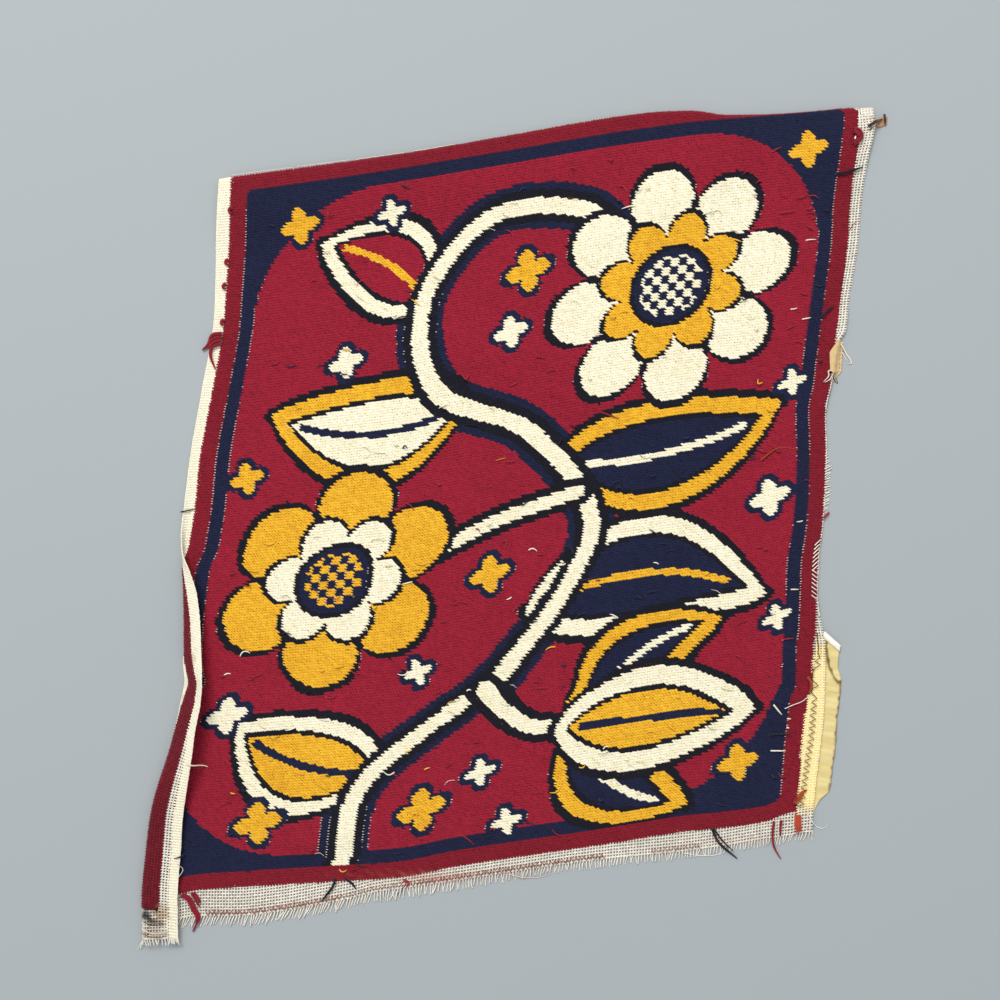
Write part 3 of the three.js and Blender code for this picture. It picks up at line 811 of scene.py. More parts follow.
def finish_piece(thing):
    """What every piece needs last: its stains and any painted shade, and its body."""
    stain(thing.data, STAINS + OWN_STAINS_AND_SHADE.get(thing.name, []))
    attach(thing, "root")
    triangles = sum(len(p.vertices) - 2 for p in thing.data.polygons)
    print(f"{thing.name}: {triangles} triangles")
    return thing


# %% [markdown]
# ## The two kinds of stitch
#
# Under the needle each stitch crosses one thread on the front and two on the back. So the back
# has long slanting strands that lie side by side like a rope, and the front has short ones. A
# back strand is a half-round spindle of eight triangles. On the underside, which is hardly
# seen, a front stitch is a low ridge of four.

# %% Strand shapes
WAIST = 0.30  # how far from its middle a strand begins to dive into the canvas
SPINDLE = [(-0.5, 0, 0)] + [(x, y, z) for x in (-WAIST, WAIST) for y, z in ((0.5, 0), (0, 1), (-0.5, 0))] + [(0.5, 0, 0)]
SPINDLE_FACES = [(0, 2, 1), (0, 3, 2), (1, 2, 5, 4), (2, 3, 6, 5), (7, 4, 5), (7, 5, 6)]
RIDGE = [(-0.5, 0, 0), (0, -0.5, 0), (0.5, 0, 0), (0, 0.5, 0), (0, 0, 1)]
RIDGE_FACES = [(0, 1, 4), (1, 2, 4), (2, 3, 4), (3, 0, 4)]


def strand_object(name, points, faces, down=False):
    """A strand to be copied. One for the lower face is turned over, and its faces with it."""
    if down:
        points = [(x, y, -z) for x, y, z in points]
        faces = [face[::-1] for face in faces]
    thing = new_object(name, points, faces=faces)
    # Its ridge takes the light tone of its wool and its flanks and ends the dark one: painted shade between the
    # strands.
    set_attribute(thing.data, "ridge", "FLOAT", [abs(z) for x, y, z in points])
    thing.hide_render = True
    return thing


BACK_STRAND = strand_object("back_strand", SPINDLE, SPINDLE_FACES)
FRONT_STRAND = strand_object("front_strand", SPINDLE, SPINDLE_FACES, down=True)
FRONT_RIDGE = strand_object("front_ridge", RIDGE, RIDGE_FACES, down=True)


FLOOR_GAP = 0.00002  # nothing goes through the floor, metres


def bend_onto_cloth(mesh):
    """Takes a mesh from thread counts to its place on the cloth."""
    flat = np.empty(len(mesh.vertices) * 3, np.float32)
    mesh.vertices.foreach_get("co", flat)
    u, v, height = flat.reshape(-1, 3).astype(float).T
    bent = on_threads(u, v, height)
    bent[:, 2] = np.maximum(bent[:, 2], FLOOR_GAP)
    mesh.vertices.foreach_set("co", bent.astype(np.float32).ravel())
    mesh.update()


def lay(name, where, strand, wool, height, turn, size, untidy, seed):
    """Lays one kind of stitch at the marked places and bends it onto the cloth."""
    u, v = where
    cloud = new_object(name, np.stack([u, v, np.full(len(u), height)], axis=-1))
    set_attribute(cloud.data, "turn", "FLOAT", np.full(len(u), math.radians(turn)))
    set_attribute(cloud.data, "size", "FLOAT_VECTOR", np.tile(size, (len(u), 1)))
    grow(cloud, stitch_tree, Strand=strand, Material=wool, Untidy=untidy, Seed=seed)
    bend_onto_cloth(cloud.data)
    return finish_piece(cloud)


def crossings(mask):
    """The middles of the marked crossings, in thread counts."""
    v, u = np.nonzero(mask)
    return u + 0.5, v + 0.5


# %% The back, colour by colour
BASE_HALF = 0.3  # where a strand dives in, over the middle of the canvas, mm
BACK = dict(strand=BACK_STRAND, height=BASE_HALF, turn=-33, size=(2.12, 0.80, 0.66), untidy=0.55)
BORDER_BACK = dict(strand=BACK_STRAND, height=BASE_HALF, turn=-33, size=(2.10, 0.82, 0.68), untidy=0.7)
TOP_CORNER, CORNER_ROUND = (227.2, 251.6), 8.0  # where the wool's top right corner is, and its radius, mm


def off_the_corner(x, y):
    """Marks what lies outside the wool's round top right corner."""
    over_x, over_y = x - TOP_CORNER[0] + CORNER_ROUND, np.maximum(0, y - TOP_CORNER[1] + CORNER_ROUND)
    return (over_x > 0) & (np.hypot(over_x, over_y) > CORNER_ROUND)


border = ~inside_panel(6, 2)
colours = np.where(border, BORDER, chart)
border &= ~off_the_corner(*plan(col, row))
wool_pieces = [lay("back_border", crossings(border), wool=WOOLS[BORDER], seed=1, **BORDER_BACK)]
for wool in (CRIMSON, NAVY, BLACK, CREAM, GOLD):
    where = crossings(colours == wool)
    wool_pieces.append(lay("back_" + WOOL_NAMES[wool], where, wool=WOOLS[wool], seed=wool + 2, **BACK))

# %% The front, neat where the fold turns it up
FRONT = dict(height=-BASE_HALF, turn=135, untidy=0.3)
flap = (col < 12) & (row < 152)
rounded = flap & ~((col < 4) & (row < 4) & (np.hypot(4 - col, 4 - row) > 4))
wool_pieces.append(
    lay("front_of_fold", crossings(rounded), FRONT_STRAND, FOLDED_WOOL, size=(1.42, 0.86, 0.78), seed=31, **FRONT)
)
for wool in (CRIMSON, NAVY, BLACK, CREAM, GOLD):
    where = crossings((chart == wool) & ~flap)
    name = "front_" + WOOL_NAMES[wool]
    wool_pieces.append(lay(name, where, FRONT_RIDGE, WOOLS[wool], size=(1.5, 1.1, 0.72), seed=41 + wool, **FRONT))

# %% [markdown]
# ## Canvas that shows between two colours
#
# Where two colours meet along a canvas thread, their strands dive in on either side of it, and
# the thread shows between them as a row of short pale dashes. They are worked out from the
# chart: a change of colour that goes straight up for three rows, with no pale wool beside it.

# %% Pale dashes
change = (colours[:, 1:] != colours[:, :-1]) & (colours[:, 1:] != CREAM) & (colours[:, :-1] != CREAM)
straight = change.copy()
straight[1:-1] &= change[:-2] & change[2:]
random = np.random.default_rng(17)
patchy = np.sin(col * 0.11 + 1) + np.sin(row * 0.09) + random.normal(0, 0.8, chart.shape)
v, u = np.nonzero(straight & (patchy[:, 1:] > 0.2))
wool_pieces.append(
    lay(
        "canvas_between_colours", (u + 1.0, v + 0.5), BACK_STRAND, COTTON, height=BASE_HALF + 0.08,
        turn=-8, size=(0.85, 0.34, 0.80), untidy=1.0, seed=19,
    )
)

# %% Pale teeth along the tape
teeth_v = np.arange(0.5, ROWS)
_, teeth_y = plan(np.full(ROWS, COLUMNS + 0.0), teeth_v)
beside_tape = (teeth_y > -124) & (teeth_y < -62)
at_edge = (np.full(beside_tape.sum(), COLUMNS + 0.1), teeth_v[beside_tape])
wool_pieces.append(
    lay(
        "canvas_teeth_by_the_tape", at_edge, BACK_STRAND, COTTON, height=BASE_HALF,
        turn=-6, size=(1.3, 0.42, 0.85), untidy=1.0, seed=20,
    )
)

# %% [markdown]
# ## The canvas under the wool
#
# Behind the stitches lies the canvas. It is one thin closed sheet on the solid's own folds, so
# it stands for the solid, and the wool and the bare threads of the margins go with it. A plane
# with a Cloth simulation would fold where it likes, and this one has to fold as the real one.
#
# What is seen of it, deep between the strands, is mostly the wool that passes there, in shadow.
# So each of its points takes the colour of the wool above it, much darkened as painted shade,
# through the attribute that also carries the stains.

# %% Canvas sheet
def closed_sheet(name, upper, lower):
    """One body from two grids of points, the upper and the lower face of a sheet."""
    rows, columns = upper.shape[:2]
    count = rows * columns
    index = np.arange(count).reshape(rows, columns)
    a, b, c, d = index[:-1, :-1], index[:-1, 1:], index[1:, 1:], index[1:, :-1]
    top = np.stack([a, b, c, d], -1).reshape(-1, 4)
    rim = np.concatenate([index[0, :], index[1:, -1], index[-1, -2::-1], index[-2:0:-1, 0]])
    onward = np.roll(rim, -1)
    sides = np.stack([rim + count, onward + count, onward, rim], -1)
    faces = np.concatenate([top, top[:, ::-1] + count, sides])
    points = np.concatenate([upper.reshape(-1, 3), lower.reshape(-1, 3)])
    return new_object(name, points, faces=faces.tolist())


CANVAS_HALF = 0.15
# The wools' colours as they look in shadow deep between the strands: painted shade.
WOOL_IN_PAINTED_SHADE = ["#4A0814", "#0A0C1C", "#050508", "#A08655", "#8A5408", "#34060E"]
u_lines = np.concatenate([np.arange(0, 14), np.linspace(14, COLUMNS, 76)])
v_lines = np.concatenate([np.linspace(0, ROWS - 8, 92), ROWS - 7 + np.arange(8)])
sheet_u, sheet_v = np.meshgrid(u_lines, v_lines)
sheet_u[0, 0] = sheet_v[0, 0] = 1.2  # its corner is round, as the wool's is
canvas = closed_sheet(
    "canvas_under_the_wool",
    on_threads(sheet_u, sheet_v, np.full(sheet_u.shape, CANVAS_HALF)),
    on_threads(sheet_u, sheet_v, np.full(sheet_u.shape, -CANVAS_HALF)),
)
canvas.data.materials.append(SHADED_CANVAS)
finish_piece(canvas)
# Each point of the sheet takes the darkened colour of the wool above it at full strength, in the attribute that also
# carries the stains: painted shade between the strands.
above = colours[np.minimum(sheet_v.astype(int), ROWS - 1), np.minimum(sheet_u.astype(int), COLUMNS - 1)]
painted_shade_tints = np.array([linear(tint) for tint in WOOL_IN_PAINTED_SHADE])[above].reshape(-1, 4)
canvas.data.attributes["stain"].data.foreach_set("color", np.tile(painted_shade_tints, (2, 1)).astype(np.float32).ravel())

# %% [markdown]
# ## The bare canvas of the margins
#
# Outside the wool the canvas shows as an open net, woven plain: each thread goes over one and
# under the next. A flat sheet with a net painted on it would close the holes, and here the
# floor and the tape show through them. So every thread is a real one. Its crossings are the
# points of a wire, alternately high and low, and one tree gives each wire its thickness.

# %% Yarn tree
yarn_tree, given = new_tree("spin_yarn", [("Sides", "NodeSocketInt"), ("Material", "NodeSocketMaterial")])
wire = add(yarn_tree, "GeometryNodeMeshToCurve", {"Mesh": given["Geometry"]})
section = add(yarn_tree, "GeometryNodeCurvePrimitiveCircle", {"Resolution": given["Sides"], "Radius": 1.0})
thick = add(yarn_tree, "GeometryNodeInputNamedAttribute", {"Name": "thickness"}, data_type="FLOAT")
spun = add(
    yarn_tree, "GeometryNodeCurveToMesh",
    {"Curve": wire.outputs[0], "Profile Curve": section.outputs[0], "Scale": thick.outputs[0], "Fill Caps": True},
)
end_tree(yarn_tree, spun.outputs[0], given["Material"])


def spin(name, points, edges, radius, material, sides=4, tone=None):
    """Makes yarn of wires. radius is in mm, one for all points or one for each."""
    wires = new_object(name, points, edges=np.asarray(edges).tolist())
    count = len(points)
    set_attribute(wires.data, "thickness", "FLOAT", np.broadcast_to(np.asarray(radius) / 1000, count))
    set_attribute(wires.data, "tone", "FLOAT", np.full(count, 0.5) if tone is None else tone)
    set_attribute(wires.data, "ridge", "FLOAT", np.ones(count))
    grow(wires, yarn_tree, Sides=sides, Material=material)
    # A thread's upper side takes the light tone of its finish and its underside the dark one: painted shade on the
    # flanks of every thread.
    upward = np.empty(len(wires.data.vertices) * 3, np.float32)
    wires.data.vertices.foreach_get("normal", upward)
    wires.data.attributes["ridge"].data.foreach_set("value", smooth(-0.5, 0.8, upward[2::3]))
    lowest = np.empty(len(wires.data.vertices) * 3, np.float32)
    wires.data.vertices.foreach_get("co", lowest)
    lowest[2::3] = np.maximum(lowest[2::3], FLOOR_GAP)
    wires.data.vertices.foreach_set("co", lowest)
    return finish_piece(wires)


def chains(paths):
    """Points and edges of many separate wires."""
    points = np.concatenate(paths)
    ends = np.cumsum([len(path) for path in paths])
    edges = np.stack([np.arange(len(points) - 1), np.arange(1, len(points))], -1)
    return points, np.delete(edges, ends[:-1] - 1, axis=0)


# %% The lattice of the bare canvas
CROSSING_RISE = 0.2  # how far a thread rises over the one that it crosses, mm
CANVAS_THREAD = 0.58  # radius, mm
PRESSED_THREAD = 1.0  # radius where the net is pressed and sized onto the tape
EDGE_THREAD = 0.6  # from a cut edge to the middle of its last thread, mm
TUCK = 0.15  # how near the wool a crossing may be and still show, in threads
CORNER_DRAWN_IN = 2.0  # how much narrower the right margin gets at its top corner, mm
OPEN_SIDE = 3.0  # a right margin wider than this ends in loose weft, mm
WEFT_END = 1.1  # how far that weft goes on past its last upright thread, mm
LEFT_COLUMNS, RIGHT_COLUMNS, LOWER_ROWS, HEM_ROWS = 6, 8, 13, 12


def selvedge_width(y):
    """The dense band along the left side. Further up it takes the whole margin."""
    return mix(5.6, along(LEFT, "margin", y), smooth(-170, -120, y))


# Canvas is cut along a thread, so the rows of the right and lower margins are counted in from
# the cut edge, and it is the wool's side of the margin that hides a part of a row.
columns = np.concatenate([np.arange(-LEFT_COLUMNS, COLUMNS) + 0.5, np.full(RIGHT_COLUMNS, COLUMNS + 2)])
rows = np.concatenate([np.full(LOWER_ROWS, -3), np.arange(ROWS + HEM_ROWS) + 0.5])
net_u, net_v = np.meshgrid(columns, rows)
net_x, net_y = plan(net_u, net_v)
on_right = np.arange(len(columns))[None, :] >= len(columns) - RIGHT_COLUMNS
on_bottom = np.arange(len(rows))[:, None] < LOWER_ROWS
wide = along(RIGHT, "edge", net_y) - along(RIGHT, "worked", net_y) - CORNER_DRAWN_IN * smooth(234, 250, net_y)
deep = along(BOTTOM, "worked", net_x) - along(BOTTOM, "cut", net_x)
weft_ends = (np.arange(len(columns))[None, :] == len(columns) - 1) & (wide > OPEN_SIDE)
from_right = EDGE_THREAD + np.maximum(0, np.arange(len(columns))[::-1][None, :] - (wide > OPEN_SIDE)) * MESH_PITCH
from_right = np.where(weft_ends, 0.05, from_right + WEFT_END * (wide > OPEN_SIDE))
from_below = np.arange(len(rows))[:, None]
net_u = np.where(on_right, COLUMNS + (wide - from_right) / MESH_PITCH, net_u)
net_v = np.where(on_bottom, (EDGE_THREAD - deep) / MESH_PITCH + from_below, net_v)
net_x, net_y = plan(net_u, net_v)
under_wool = (net_u > -TUCK) & (net_u < COLUMNS + TUCK) & (net_v > -TUCK) & (net_v < ROWS)
under_wool &= ~off_the_corner(net_x, net_y)
bare = (
    ~under_wool
    & (~on_right | (net_u > COLUMNS + TUCK - 0.6 * smooth(230, 236, net_y)))
    & (~on_bottom | (net_v < -TUCK))
    & (net_x > left_section(net_y)["edge"] + selvedge_width(net_y) + 0.4)
    & (net_y < hem_line(net_x) + HEM_DEPTH)
)
print("bare crossings:", int(bare.sum()))


# %% Weaving
LONGEST_STEP = 2.3  # neighbours further apart than this aren't joined, in threads


def beside(mask, axis):
    """Crossings that have a neighbour in the mask before or after them along an axis."""
    near = np.zeros_like(mask)
    before, after = [slice(None)] * 2, [slice(None)] * 2
    before[axis], after[axis] = slice(None, -1), slice(1, None)
    near[tuple(before)] |= mask[tuple(after)]
    near[tuple(after)] |= mask[tuple(before)]
    return near


def weave(u, v, shown, axis, first_over, rise, seed):
    """One set of threads: the points of the shown crossings, and edges between neighbours."""
    line, place = np.nonzero(shown if axis else shown.T)
    at = (line, place) if axis else (place, line)
    random = np.random.default_rng(seed)
    slack_u, slack_v = random.normal(0, 0.035, (2, len(line)))
    height = np.where((line + place) % 2 == first_over, rise, -rise)
    points = on_threads(u[at] + slack_u, v[at] + slack_v, height)
    step = np.hypot(np.diff(u[at]), np.diff(v[at]))
    first = np.flatnonzero((np.diff(line) == 0) & (step < LONGEST_STEP))
    return points, np.stack([first, first + 1], -1)


net_shown = [bare | (beside(bare, axis) & under_wool) for axis in (0, 1)]
net_shown[0] &= ~weft_ends
upright, upright_edges = weave(net_u, net_v, net_shown[0], 0, 0, CROSSING_RISE, 5)
level, level_edges = weave(net_u, net_v, net_shown[1], 1, 1, CROSSING_RISE, 6)
net_points = np.concatenate([upright, level])
at_x, at_y, _ = (net_points * 1000 - SHIFT).T
pressed = (at_x > 180) * smooth(-198, -190, at_y) * (1 - smooth(-106, -98, at_y))
pressed = np.maximum(pressed, 0.75 * (at_x > TOP_CORNER[0]) * smooth(236, 246, at_y))
at_cut = (at_x < 150) * (at_y < along(BOTTOM, "cut", at_x) + EDGE_THREAD + 0.4)
random = np.random.default_rng(8)
net = spin(
    "open_canvas_margins",
    net_points,
    np.concatenate([upright_edges, level_edges + len(upright)]),
    CANVAS_THREAD + (PRESSED_THREAD - CANVAS_THREAD) * pressed + 0.12 * at_cut,
    COTTON,
    tone=random.random(len(net_points)),
)

# %% Canvas that shows along the top fold
TURNED_EDGE = 0.5 * math.pi * HEM_RADIUS  # from the hem's line to its outermost place, mm
strands = []
for from_x, to_x, peeps in ((-172, -133, 0.0), (-130, -97, 0.15), (-93, -62, -0.1), (-56, -30, -0.15)):
    x = np.linspace(from_x, to_x, 24)
    out = thickness(x, hem_line(x)) / 2 + peeps + 0.08 * np.sin(x * 0.9)
    strands.append(drape(x, hem_line(x) + TURNED_EDGE - 0.4, out))
points, edges = chains(strands)
top_line = spin("canvas_at_the_top_fold", points, edges, 0.25, COTTON)

# %% Canvas that shows along the side fold
SIDE_FOLD = [
    [
        (-203.2, -100.0), (-203.1, -105.6), (-202.6, -110.1), (-202.2, -115.2), (-202.6, -119.0), (-203.5, -123.5),
        (-204.9, -129.3), (-206.1, -135.7), (-207.5, -142.1), (-208.9, -147.8), (-210.2, -154.2), (-212.0, -161.3),
        (-213.9, -169.6),
    ],
    [(-202.4, -104.7), (-201.7, -108.5), (-200.9, -113.0), (-200.5, -116.8), (-201.2, -120.2), (-202.6, -124.5), (-204.3, -130.5)],
    [(-202.4, -106.5), (-201.8, -112.0), (-201.4, -116.5), (-202.0, -120.2), (-203.1, -124.5)],
]
strands = []
for height, path in zip((1.7, 2.3, 2.0), SIDE_FOLD):
    line = through(path, 4)
    strands.append(in_frame(np.column_stack([line, np.full(len(line), height)])))
points, edges = chains(strands)
side_line = spin("canvas_at_the_side_fold", points, edges, 0.52, SELVEDGE_COTTON)

# %% [markdown]
# ## The selvedge
#
# Canvas is woven with a dense band along each side, where the weft turns back. It is the same
# weave with its upright threads pushed together, so the same wires make it, closer. Its weft
# is the net's own, so each row goes on a little way into the net, or under the wool.

# %% Selvedge
SELVEDGE_PITCH = 0.72
SELVEDGE_THREADS = 13
INTO_NET = np.array([0.8, 1.7])
band_v = np.repeat(net_v[:, :1], SELVEDGE_THREADS + len(INTO_NET), axis=1)
_, band_y = plan(np.full(band_v.shape, -2.0), band_v)
band_width = selvedge_width(band_y)
from_edge = 0.4 + np.arange(SELVEDGE_THREADS) * SELVEDGE_PITCH
from_edge = np.concatenate(
    [np.tile(from_edge, (len(band_v), 1)), band_width[:, -len(INTO_NET):] + INTO_NET], axis=1
)
band_u = (from_edge - along(LEFT, "margin", band_y)) / MESH_PITCH
band_x, band_y = plan(band_u, band_v)
woven = (~on_bottom | (band_v < -TUCK)) & (band_y < hem_line(band_x) + HEM_DEPTH)
woven[:, :SELVEDGE_THREADS] &= (from_edge < band_width + 0.3)[:, :SELVEDGE_THREADS]
dense = woven & (np.arange(woven.shape[1]) < SELVEDGE_THREADS)
uprights, up_edges = weave(band_u, band_v, dense, 0, 0, 0.12, 9)
levels, level_edges = weave(band_u, band_v, woven, 1, 1, 0.16, 10)
selvedge = spin(
    "selvedge",
    np.concatenate([uprights, levels]),
    np.concatenate([up_edges, level_edges + len(uprights)]),
    np.concatenate([np.full(len(uprights), 0.40), np.full(len(levels), 0.60)]),
    SELVEDGE_COTTON,
    tone=random.random(len(uprights) + len(levels)),
)

# %% [markdown]
# ## Frayed edges
#
# Where canvas is cut, its crossing threads drop out and the others are left as loose ends. The
# ends begin at the last crossing of each thread and go on in its direction, then bend and
# split as they please. Hair curves could do this, but they have no faces to export.

# %% Frays
def loose_ends(name, u, v, toward, reach, lean, seed, node):
    """A stout end for each thread that stops at (u, v), and a thin filament beside every third."""
    random = np.random.default_rng(seed)
    start = on_threads(u, v, np.zeros(len(u)))
    behind = on_threads(u - toward[0], v - toward[1], np.zeros(len(u)))
    way = start - behind
    way /= np.linalg.norm(way, axis=1, keepdims=True)
    across = np.cross(way, (0, 0, 1))
    paths, radii = [], []
    t = np.linspace(0, 1, 6)[:, None]
    for k in range(len(u)):
        slant = lean[k] + random.normal(0, 0.08)
        for thick in (0.52, 0.16)[: 1 + (k % 3 == 0)]:
            length = reach[k] * random.uniform(0.8, 1.12) / 1000
            sway = slant + random.normal(0, 0.04 / thick)
            curl = random.normal(0, 0.10)
            path = start[k] + way[k] * length * t + across[k] * length * (sway * t + curl * t**3)
            path[:, 2] = np.maximum(path[:, 2] + length * 0.08 * np.sin(t[:, 0] * 3 + k), 0.0004)
            paths.append(path)
            radii.append(np.linspace(thick, thick * 0.6, 6))
    points, edges = chains(paths)
    tone = np.repeat(random.uniform(0.85, 1, len(paths)), 6)
    piece = spin(name, points, edges, np.concatenate(radii), COTTON, sides=4, tone=tone)
    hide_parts(node)
    return piece


DOWN, OUT = (0, -1), (1, 0)
end_u, end_v = net_u[0][bare[0]], net_v[0][bare[0]]
end_x, _ = plan(end_u, end_v)
on_fold = end_u < 7
reach = EDGE_THREAD + mix(6.4, 4.8, smooth(-40, 30, end_x))
lean = 0.40 - 0.34 * smooth(-110, -60, end_x)
fold_u = np.concatenate([band_u[0][dense[0]], end_u[on_fold]])
fold_v = np.concatenate([band_v[0][dense[0]], end_v[on_fold]])
along_cut = (end_u[~on_fold], end_v[~on_fold], DOWN, reach[~on_fold], lean[~on_fold])
along_fold = (fold_u, fold_v, DOWN, np.full(len(fold_u), 4.4), np.full(len(fold_u), -0.1))
frays = [
    loose_ends("loose_ends_bottom", *along_cut, 61, "bottom_fray"),
    loose_ends("loose_ends_fold", *along_fold, 62, "flap_fray"),
]
side_v = np.arange(0, ROWS) + 0.5
_, side_y = plan(np.full(ROWS, COLUMNS - 0.5), side_v)
frayed = (side_y > -66) & (side_y < 40)
side_reach = 2.0 + 3.2 * smooth(-14, -2, side_y) * (1 - smooth(18, 34, side_y))
side_u = np.full(ROWS, COLUMNS - 0.5)
along_side = (side_u[frayed], side_v[frayed], OUT, side_reach[frayed], np.full(ROWS, -0.25))
frays.append(loose_ends("loose_ends_right", *along_side, 63, "right_fray"))

# %% [markdown]
# ## The tape
#
# A straight tape was machined under the right edge with a zigzag. It is a woven ribbon with
# fine ribs across, and it has creased where it was pulled off. Its ribs are far too fine to
# build, so they are bump at the ribbon's real spacing, and its creases are real.

# %% Ribbon finish
RIB_MM = 0.9


def ribbon(name, dark, light):
    material = fibre(name, dark, light, roughness=0.55, sheen=0.15, patch_mm=9.0)
    tree = material.node_tree
    skin = next(node for node in tree.nodes if node.type == "BSDF_PRINCIPLED")
    skin.inputs["Specular IOR Level"].default_value = 0.45
    bump = next(node for node in tree.nodes if node.type == "BUMP")
    place = next(node for node in tree.nodes if node.type == "TEX_COORD").outputs["Object"]
    ribs = add(
        tree, "ShaderNodeTexWave",
        {"Vector": place, "Scale": 1000 / RIB_MM / 20, "Distortion": 0.6, "Detail": 1.0},
        bands_direction="Y",
    )
    tree.links.new(ribs.outputs["Fac"], bump.inputs["Height"])
    return material


YELLOW_RIBBON = ribbon("yellow_grosgrain_ribbon", "#D3BC72", "#FBEDB8")
TAN_RIBBON = ribbon("tan_grosgrain_ribbon", "#CFAC74", "#F8E2B2")
SOILED_RIBBON = ribbon("soiled_tan_grosgrain_ribbon", "#9A6C48", "#D8A47C")
RIBBON_BACK = ribbon("ribbon_wrong_side", "#F0EADA", "#FFFFF6")

# %% Lower tape
LOWER_TAPE = table(
    "y left right",
    [
        (-200, 189.6, 199.2), (-191.5, 189.9, 203.6), (-186, 190.2, 209.4), (-170, 191.6, 211.8),
        (-154, 192.8, 213.8), (-141, 195.4, 214.4), (-126, 198.0, 216.3), (-116, 198.7, 217.0),
        (-106, 199.0, 215.0), (-93, 199.9, 216.4),
    ],
)
CORNER = dict(x=206.0, reach=10.6, rise=9.6, fold=5.6, height=1.3)
TAPE_HALF = 0.22
across, up = np.meshgrid(np.linspace(0, 1, 24), np.linspace(0, 1, 130))
top_y = LOWER_TAPE["y"][-1]
straight = mix(LOWER_TAPE["y"][0], top_y, up)
tape_x = mix(along(LOWER_TAPE, "left", straight), along(LOWER_TAPE, "right", straight), across)
opened = smooth(CORNER["x"] - 1.5, CORNER["x"], tape_x)
slant = CORNER["rise"] * (1 - np.maximum(0, tape_x - CORNER["x"]) / CORNER["reach"]) * opened
tape_y = straight + slant * smooth(0.75, 1, up)
turned = opened * smooth(-CORNER["fold"], -CORNER["fold"] + 1.5, tape_y - top_y - slant)
free = smooth(0, 4, tape_x - along(RIGHT, "edge", tape_y))
crease = np.sin(tape_y * 0.62 + 0.9 * np.sin(tape_y * 0.21) + tape_x * 0.10)
ripple = np.sin(tape_y * 1.7 + 2.0 * np.sin(tape_x * 0.3))
tape_z = 0.5 + free * (0.30 * crease * abs(crease) + 0.10 * ripple + 0.2) + CORNER["height"] * turned
tape_point = np.stack([tape_x, tape_y, tape_z], -1)
half = np.array((0, 0, TAPE_HALF))
lower_tape = closed_sheet("machined_tape", in_frame(tape_point + half), in_frame(tape_point - half))
lower_tape.data.materials.append(YELLOW_RIBBON)
lower_tape.data.materials.append(RIBBON_BACK)
quads = (tape_z.shape[0] - 1) * (tape_z.shape[1] - 1)
shows_back = (turned > 0.5)[:-1, :-1].ravel()
for face, back in zip(lower_tape.data.polygons[:quads], shows_back):
    face.material_index = int(back)


def finish_tape(piece, node):
    """A tape's smooth faces, its tone, its stains and painted shade and its body; its solid node is hidden."""
    piece.data.polygons.foreach_set("use_smooth", [True] * len(piece.data.polygons))
    set_attribute(piece.data, "tone", "FLOAT", 0.5 + 0.25 * np.sin(np.arange(len(piece.data.vertices)) * 0.013))
    finish_piece(piece)
    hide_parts(node)


finish_tape(lower_tape, "lower_tape")

# %% Two torn remnants
MIDDLE_TAPE = table(
    "y left right",
    [(75.5, 210.4, 211.9), (79, 210.7, 214.2), (82, 211.0, 217.0), (92, 212.0, 217.8), (101, 213.3, 218.1)],
)
across, up = np.meshgrid(np.linspace(0, 1, 12), np.linspace(0, 1, 40))
remnant_y = mix(MIDDLE_TAPE["y"][0], MIDDLE_TAPE["y"][-1], up)
remnant_x = mix(along(MIDDLE_TAPE, "left", remnant_y), along(MIDDLE_TAPE, "right", remnant_y), across)
remnant_x = remnant_x + 0.3 * np.sin(remnant_y * 2.9) * across
remnant = np.stack([remnant_x, remnant_y, 0.5 + 0.15 * np.sin(remnant_y * 0.9 + remnant_x)], -1)
middle_tape = closed_sheet("torn_tape", in_frame(remnant + half), in_frame(remnant - half))
middle_tape.data.materials.append(TAN_RIBBON)
finish_tape(middle_tape, "middle_tape")

# A flap of the same remnant is turned up over the cut edge and lies on the wool.
TURNED_UP = table(
    "y left right",
    [(81, 212.4, 215.0), (83, 210.5, 217.0), (93.5, 210.2, 217.5), (98, 212.8, 217.9), (102.5, 216.2, 216.9)],
)
flap_y = mix(TURNED_UP["y"][0], TURNED_UP["y"][-1], up)
flap_x = mix(along(TURNED_UP, "left", flap_y), along(TURNED_UP, "right", flap_y), across) - 1.3
flap_x = flap_x + 0.25 * np.sin(flap_y * 2.3) * across
falls = smooth(-0.5, 3.0, flap_x - along(RIGHT, "edge", flap_y))
flap_z = mix(4.3, 1.2, falls) + 0.12 * np.sin(flap_y * 1.1 + flap_x)
flap_point = np.stack([flap_x, flap_y, flap_z], -1)
turned_up = closed_sheet("torn_tape_over_the_edge", in_frame(flap_point + half), in_frame(flap_point - half))
turned_up.data.materials.append(TAN_RIBBON)
turned_up.data.polygons.foreach_set("use_smooth", [True] * len(turned_up.data.polygons))
finish_piece(turned_up)

SCRAP = [(239.4, 239.0), (241.3, 238.2), (246.3, 240.1), (246.6, 245.0), (239.5, 241.8)]
corners = np.array([SCRAP[0], SCRAP[1], SCRAP[2], SCRAP[4], mix(np.array(SCRAP[4]), np.array(SCRAP[3]), 0.5), SCRAP[3]])
across, up = np.meshgrid(np.linspace(0, 2, 13), np.linspace(0, 1, 9))
stretch = np.minimum(across.astype(int), 1)
part = (across - stretch)[..., None]
lower_side = mix(corners[stretch], corners[stretch + 1], part)
upper_side = mix(corners[stretch + 3], corners[stretch + 4], part)
scrap = mix(lower_side, upper_side, up[..., None])
scrap = np.concatenate([scrap, (0.5 + 0.12 * np.sin(scrap[..., :1] * 2))], -1)
corner_tape = closed_sheet("torn_corner_tape", in_frame(scrap + half), in_frame(scrap - half))
corner_tape.data.materials.append(SOILED_RIBBON)
finish_tape(corner_tape, "corner_scrap")

